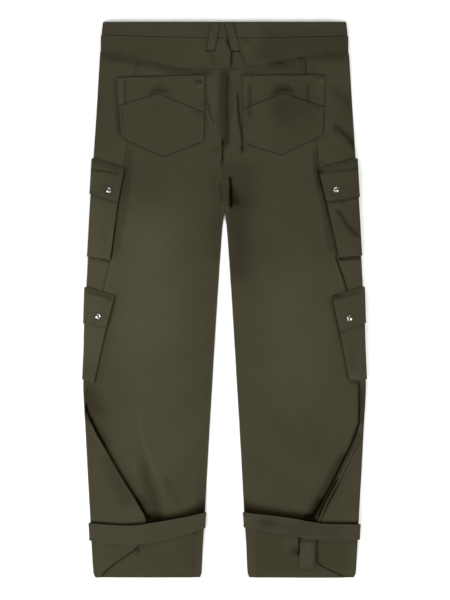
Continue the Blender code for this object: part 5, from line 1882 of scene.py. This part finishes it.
@dataclass
class CargoPocket:
    """Cargo pocket with bellows sides, its flap and the snap that holds it."""

    plan: CargoPlan
    palette: Palette
    step: float = 2.4

    # The face's foot, the flap's edges and the flap's seat have painted shade along them and a pale line
    # beside it.
    FACE = Shell(POCKET_OUT, POCKET_CAP, 1.6, 48.0, CLOTH + 2.0 * SEAM,
                 Hem(width=7.0, height=0.3, rows=(2.0,), groove=0.3, bands=SHADED))
    FLAP = Shell(FLAP_OUT, FLAP_CAP, -FLAP_WIDER, 55.0, 0.0,
                 Hem(width=7.6, height=0.4, rows=(1.9, 7.0), groove=0.3, bands=SHADED))
    SEAT = Hem(width=7.6, height=0.3, rows=(1.8, 6.8), groove=0.3, bands=SHADED)
    FLAP_STEP, FACE_TRIM, FOOT_ROUND, FLAP_RISE = 2.0, (8.0, 14.0), 2.6, 1.6 * FLAP_TURN
    # Columns under the garment, and how far before the turn they end
    FRONT_COLUMNS, FRONT_SHORT = 10, 10.0
    # How far in from the rear edge, and height over the leg, of the bellows side: outer face
    # and inner face, from the pocket's face down to the leg.
    BELLOWS = (((1.3, 5.15), (0.45, 4.85), (0.05, 4.2), (0.3, 3.5), (1.1, 3.0), (1.9, 2.5),
                (2.1, 1.8), (2.1, 1.0)),
               ((2.3, 3.85), (1.9, 3.85), (1.5, 3.95), (1.8, 3.9), (2.7, 3.6), (3.2, 2.9),
                (3.35, 2.1), (3.4, 1.3)))
    SNAP = MetalCap(5.1, 0.9, ((0.45, 1.08), (0.5, 0.96), (0.2, 0.90), (-0.35, 0.88), (0.0, 0.94),
                               (0.5, 0.92), (0.35, 0.80), (0.2, 0.62), (0.05, 0.4)))

    def row(self, shell: Shell, level: float, stand: float, *layers: Layer) -> tuple[Array, Array]:
        """Lays one row of the face or the flap out.

        Args:
            shell: Which of them it is.
            level: How far it is below the top seam at the outer edge.
            stand: Height of its upper face over the leg.
            layers: Layers whose creases it has.

        Returns:
            Its outer and its inner points.
        """
        plan = self.plan
        reach, corner_y = plan.corner(level / plan.height)
        edge_y = mix(plan.top, plan.bottom, level / plan.height)
        edge = float(outer_edge(edge_y)) + shell.out
        front = np.linspace(POCKET_FRONT, edge - self.FRONT_SHORT, self.FRONT_COLUMNS)
        wrap = Wrap(plan.side, front, edge, shell.cap, (CLOTH, CLOTH),
                    lambda px, py: shell.low + 0.0 * px,
                    lambda px, py: Cloth.ground(px, py) + stand + relief(px, py, *layers),
                    lambda px: edge_y + 0.0 * px, lambda px, part: mix(edge_y, corner_y, part))
        return wrap.hemmed(reach + shell.inset, self.step, shell.typical, shell.hem)

    def body(self) -> Wall:
        """Lays the pocket out: its face stands off the leg and turns down at its sides."""
        plan, base = self.plan, OVERLAY + CLOTH
        found = []
        for level in MOUTH_DROP + stations(plan.height - MOUTH_DROP, self.step, PLAIN, self.FACE.hem):
            raised = float(round_off((plan.height - level) / self.FOOT_ROUND))
            faces = self.row(self.FACE, level, mix(base, POCKET_STAND, raised), Layer.CARGO,
                             Layer.POCKET)
            reach, corner_y = plan.corner(level / plan.height)
            sides = []
            for table in self.BELLOWS:
                inward, tall = np.array(table).T
                x = plan.side.value * (reach + inward)
                y = np.full(x.shape, corner_y)
                z = Cloth.ground(x, y) + mix(np.minimum(tall, base), tall, raised)
                sides.append(np.stack([x, y, z], -1))
            found.append(tuple(np.concatenate(pair) for pair in zip(faces, sides)))
        return Wall("cargo_" + plan.label, stack_rows(found), {Edge.BOTTOM: self.FACE.hem},
                    (Layer.ALL, Layer.CARGO, Layer.POCKET))

    def flap(self) -> Wall:
        """Lays the flap out: sewn down along its top and loose at its sides and foot."""
        full = POCKET_STAND + FLAP_SLACK + CLOTH
        depth = self.plan.top - self.plan.flap
        found = []
        for level in stations(depth, self.FLAP_STEP, self.SEAT, self.FLAP.hem):
            stand = mix(OVERLAY + CLOTH, full, float(smooth(level / self.FLAP_RISE)))
            found.append(self.row(self.FLAP, level, stand, Layer.CARGO))
        hems = {Edge.TOP: self.SEAT, Edge.BOTTOM: self.FLAP.hem, Edge.END: self.FLAP.hem}
        return Wall("flap_" + self.plan.label, stack_rows(found), hems, (Layer.ALL, Layer.CARGO))

    def build(self) -> None:
        """Makes the pocket, flap, snap and their stitching."""
        body, flap = self.body(), self.flap()
        leg = f"side_{self.plan.side.label}_cloth"
        put_on(body, self.palette, [leg], body.lines(Edge.BOTTOM, trim=self.FACE_TRIM))
        put_on(flap, self.palette, [body.name + "_cloth", leg],
               flap.lines(Edge.BOTTOM, Edge.END) + flap.lines(Edge.TOP))
        snap = "snap_" + self.plan.label
        self.SNAP.build(snap, snap + "_cap", self.palette.nickel)


# ---- Ankle straps -----------------------------------------------------------------------

@dataclass
class Ankles:
    """Ankle straps and the keeper tab on the right one."""

    palette: Palette

    # Pale lines of painted highlight along the straps' edges; painted shadow along the keeper tab's left
    # edge and faint painted shade across its foot.
    HEM = Hem(width=5.5, height=0.4, rows=(2.6,), groove=0.2, bands=((1.0, 0.9, 0.20),))
    TAB_EDGE = Hem(width=4.6, height=0.3, rows=(2.0,), groove=0.2, low_y=-498.0,
                   bands=((0.0, 1.3, -0.85),))
    TAB_HEM = Hem(rows=(2.0,), groove=0.1, bands=((2.0, 3.0, -0.12),))
    WIDTH, SEWN_AT = 34.0, 2.0
    # Reaches where the strap turns, how far its columns go on the front, and their numbers
    INNER_REACH, OUTER_REACH, FRONT_END = 36.0, 264.0, 250.0
    FRONT_COLUMNS, BACK_COLUMNS, INNER_ARC = 26, 76, 8
    TAB_WIDTH, TAB_LENGTH, TAB_THICK, TAB_X, TAB_TOP, TAB_STEP = 29.0, 54.0, 1.2, 160.0, -470.0, 2.2
    TAB_TRIM = (1.0, 2.0)
    # (x, y, width, angle) of the cross of thread on the tab
    CROSS = ((164.0, -481.0, 4.0, 45.0), (164.0, -481.0, 4.0, 135.0))

    def roof(self, x: Array, y: Array) -> Array:
        """Gives the height of a strap's upper face over the leg and the pleat."""
        pleat = (DOUBLE + OVERLAY) * ramp(np.abs(x), PLEAT_REACH, PLEAT_RAMP)
        return Cloth.ground(x, y) + pleat + OVERLAY + BAND + relief(x, y, Layer.STRAP)

    def strap(self, side: Side) -> Wall:
        """Lays a strap out as a flattened ring round the whole leg."""
        sign = side.value
        angle = np.pi * (0.5 - np.arange(1, self.INNER_ARC) / self.INNER_ARC)
        found = []
        for level in 1.0 - 2.0 * stations(self.WIDTH, CLOSE_STEP, self.HEM, self.HEM) / self.WIDTH:
            def strap_y(x: Array, level: float = level) -> Array:
                """Gives y at this level of the strap."""
                return strap_middle(x) + level * strap_half(x)

            far = float(outer_edge(strap_y(sign * self.OUTER_REACH))) + STRAP_OUT
            near = float(inner_edge(strap_y(sign * self.INNER_REACH))) - STRAP_IN
            near_x = np.array([sign * (near + STRAP_IN)])
            end_y = strap_y(near_x)
            half = float(self.roof(near_x, end_y)[0]) / 2.0
            reach = min(half, STRAP_INNER_CAP)
            end = near + reach
            wrap = Wrap(side, np.linspace(end, self.FRONT_END, self.FRONT_COLUMNS), far, STRAP_CAP,
                        (BAND, BAND), lambda px, py: 0.0 * px, self.roof, strap_y,
                        lambda px, _: strap_y(px))
            faces = wrap.points(end, np.linspace(0.0, 1.0, self.BACK_COLUMNS))
            turns = []
            for less in (0.0, BAND):
                x = sign * (end - (reach - less) * np.cos(angle))
                z = half + (half - less) * np.sin(angle)
                turns.append(np.stack([x, np.full(x.shape, end_y[0]), z], -1))
            found.append(tuple(np.concatenate(pair) for pair in zip(faces, turns)))
        return Wall("strap_" + side.label, stack_rows(found),
                    {Edge.TOP: self.HEM, Edge.BOTTOM: self.HEM}, (Layer.STRAP,), ring=True)

    def keeper(self) -> Wall:
        """Lays the keeper tab out, hanging from under the right strap."""
        across = stations(self.TAB_WIDTH, self.TAB_STEP, self.TAB_EDGE, self.TAB_HEM)
        down = stations(self.TAB_LENGTH, CLOSE_STEP, PLAIN, self.TAB_HEM)
        x, y = np.meshgrid(self.TAB_X + (across - self.TAB_WIDTH / 2.0), self.TAB_TOP - down)

        def under(px: Array, py: Array) -> Array:
            """Gives the height of its lower face."""
            return Cloth.ground(px, py) + (CLOTH + OVERLAY) * hem_lap(Side.RIGHT, px, py) + OVERLAY

        hems = {Edge.BOTTOM: self.TAB_HEM, Edge.START: self.TAB_EDGE, Edge.END: self.TAB_HEM}
        return Wall("strap_keeper", laid(x, y, under, self.TAB_THICK), hems, (Layer.STRAP,))

    def build(self) -> None:
        """Makes the straps, the tab and their stitching."""
        for side in Side:
            strap = self.strap(side)
            put_on(strap, self.palette, [f"back_{side.label}_cloth"],
                   [strap.line(edge, self.SEWN_AT) for edge in (Edge.TOP, Edge.BOTTOM)],
                   trim=True)
        tab = self.keeper()
        put_on(tab, self.palette, ["back_right_cloth"],
               tab.lines(Edge.START, Edge.END, Edge.BOTTOM, trim=self.TAB_TRIM),
               tab.tacks(self.CROSS), label="keeper", trim=True)


# ---- Studio -----------------------------------------------------------------------------

@dataclass(frozen=True)
class Lamp:
    """Soft area light: its place, what it points at, its size and its power."""

    name: str
    place: tuple[float, float, float]
    target: tuple[float, float, float]
    size: tuple[float, float]
    power: float

    def build(self) -> None:
        """Makes the light."""
        data = bpy.data.lights.new(self.name, "AREA")
        data.shape = "RECTANGLE"
        data.size, data.size_y = self.size
        data.energy = self.power
        lamp = bpy.data.objects.new(self.name, data)
        lamp.location = self.place
        lamp.rotation_mode = "QUATERNION"
        aim = Vector(self.target) - Vector(self.place)
        lamp.rotation_quaternion = aim.to_track_quat("-Z", "Y")
        bpy.context.scene.collection.objects.link(lamp)


@dataclass
class Studio:
    """Plain pale floor, soft lights and the camera straight above.

    Args:
        camera_height: Height of the camera.
        field_height: Height of the field that it sees.
        sensor: Width of its sensor, which with these two sets its lens.
        camera_place: Where it is over the floor.
    """

    camera_height: float = 3.6
    field_height: float = 1.170
    sensor: float = 36.0
    camera_place: tuple[float, float] = (0.0008, -0.0006)

    LAMPS = (
        Lamp("left_softbox", (-1.25, -0.45, 0.9), (-0.12, -0.15, 0.0), (0.6, 1.7), 30.0),
        Lamp("right_softbox", (1.25, -0.35, 0.9), (0.12, -0.1, 0.0), (0.6, 1.7), 22.0),
        Lamp("top_softbox", (0.0, 1.6, 1.1), (0.0, 0.1, 0.0), (1.8, 0.6), 22.0),
        Lamp("foot_softbox", (-0.2, -1.7, 1.1), (0.0, -0.2, 0.0), (1.8, 0.6), 19.0),
    )
    WORLD, FLOOR_SIZE = 0.82, 12.0

    def build(self) -> None:
        """Makes the floor, the lights and the camera."""
        bpy.ops.object.select_all(action="DESELECT")
        bpy.ops.mesh.primitive_plane_add(size=self.FLOOR_SIZE)
        floor = bpy.context.object
        floor.name = "floor"
        # Matt white paper, a little off white so that the soft shadows still show.
        paper, _, shader = blank("pale_paper")
        shader.inputs["Base Color"].default_value = linear("#F6F6F4")
        shader.inputs["Roughness"].default_value = 0.95
        floor.data.materials.append(paper)
        for lamp in self.LAMPS:
            lamp.build()
        world = bpy.data.worlds.new("studio")
        world.use_nodes = True
        world.node_tree.nodes["Background"].inputs["Strength"].default_value = self.WORLD
        bpy.context.scene.world = world
        data = bpy.data.cameras.new("camera")
        data.sensor_width = self.sensor
        data.lens = self.sensor * self.camera_height / self.field_height
        camera = bpy.data.objects.new("camera", data)
        camera.location = (*self.camera_place, self.camera_height)
        bpy.context.scene.collection.objects.link(camera)
        bpy.context.scene.camera = camera
        bpy.context.scene.view_settings.view_transform = "Standard"
        log.info("studio")


def main() -> None:
    """Builds the studio, then the garment piece by piece."""
    logging.basicConfig(level=logging.INFO, format="%(message)s")
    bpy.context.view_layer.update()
    Studio().build()
    palette = Palette.make()
    Panels(palette).build()
    Waist(palette).build()
    BackPockets(palette).build()
    for plan in CARGO_PLANS:
        CargoPocket(plan, palette).build()
    Ankles(palette).build()


if __name__ == "__main__":
    main()
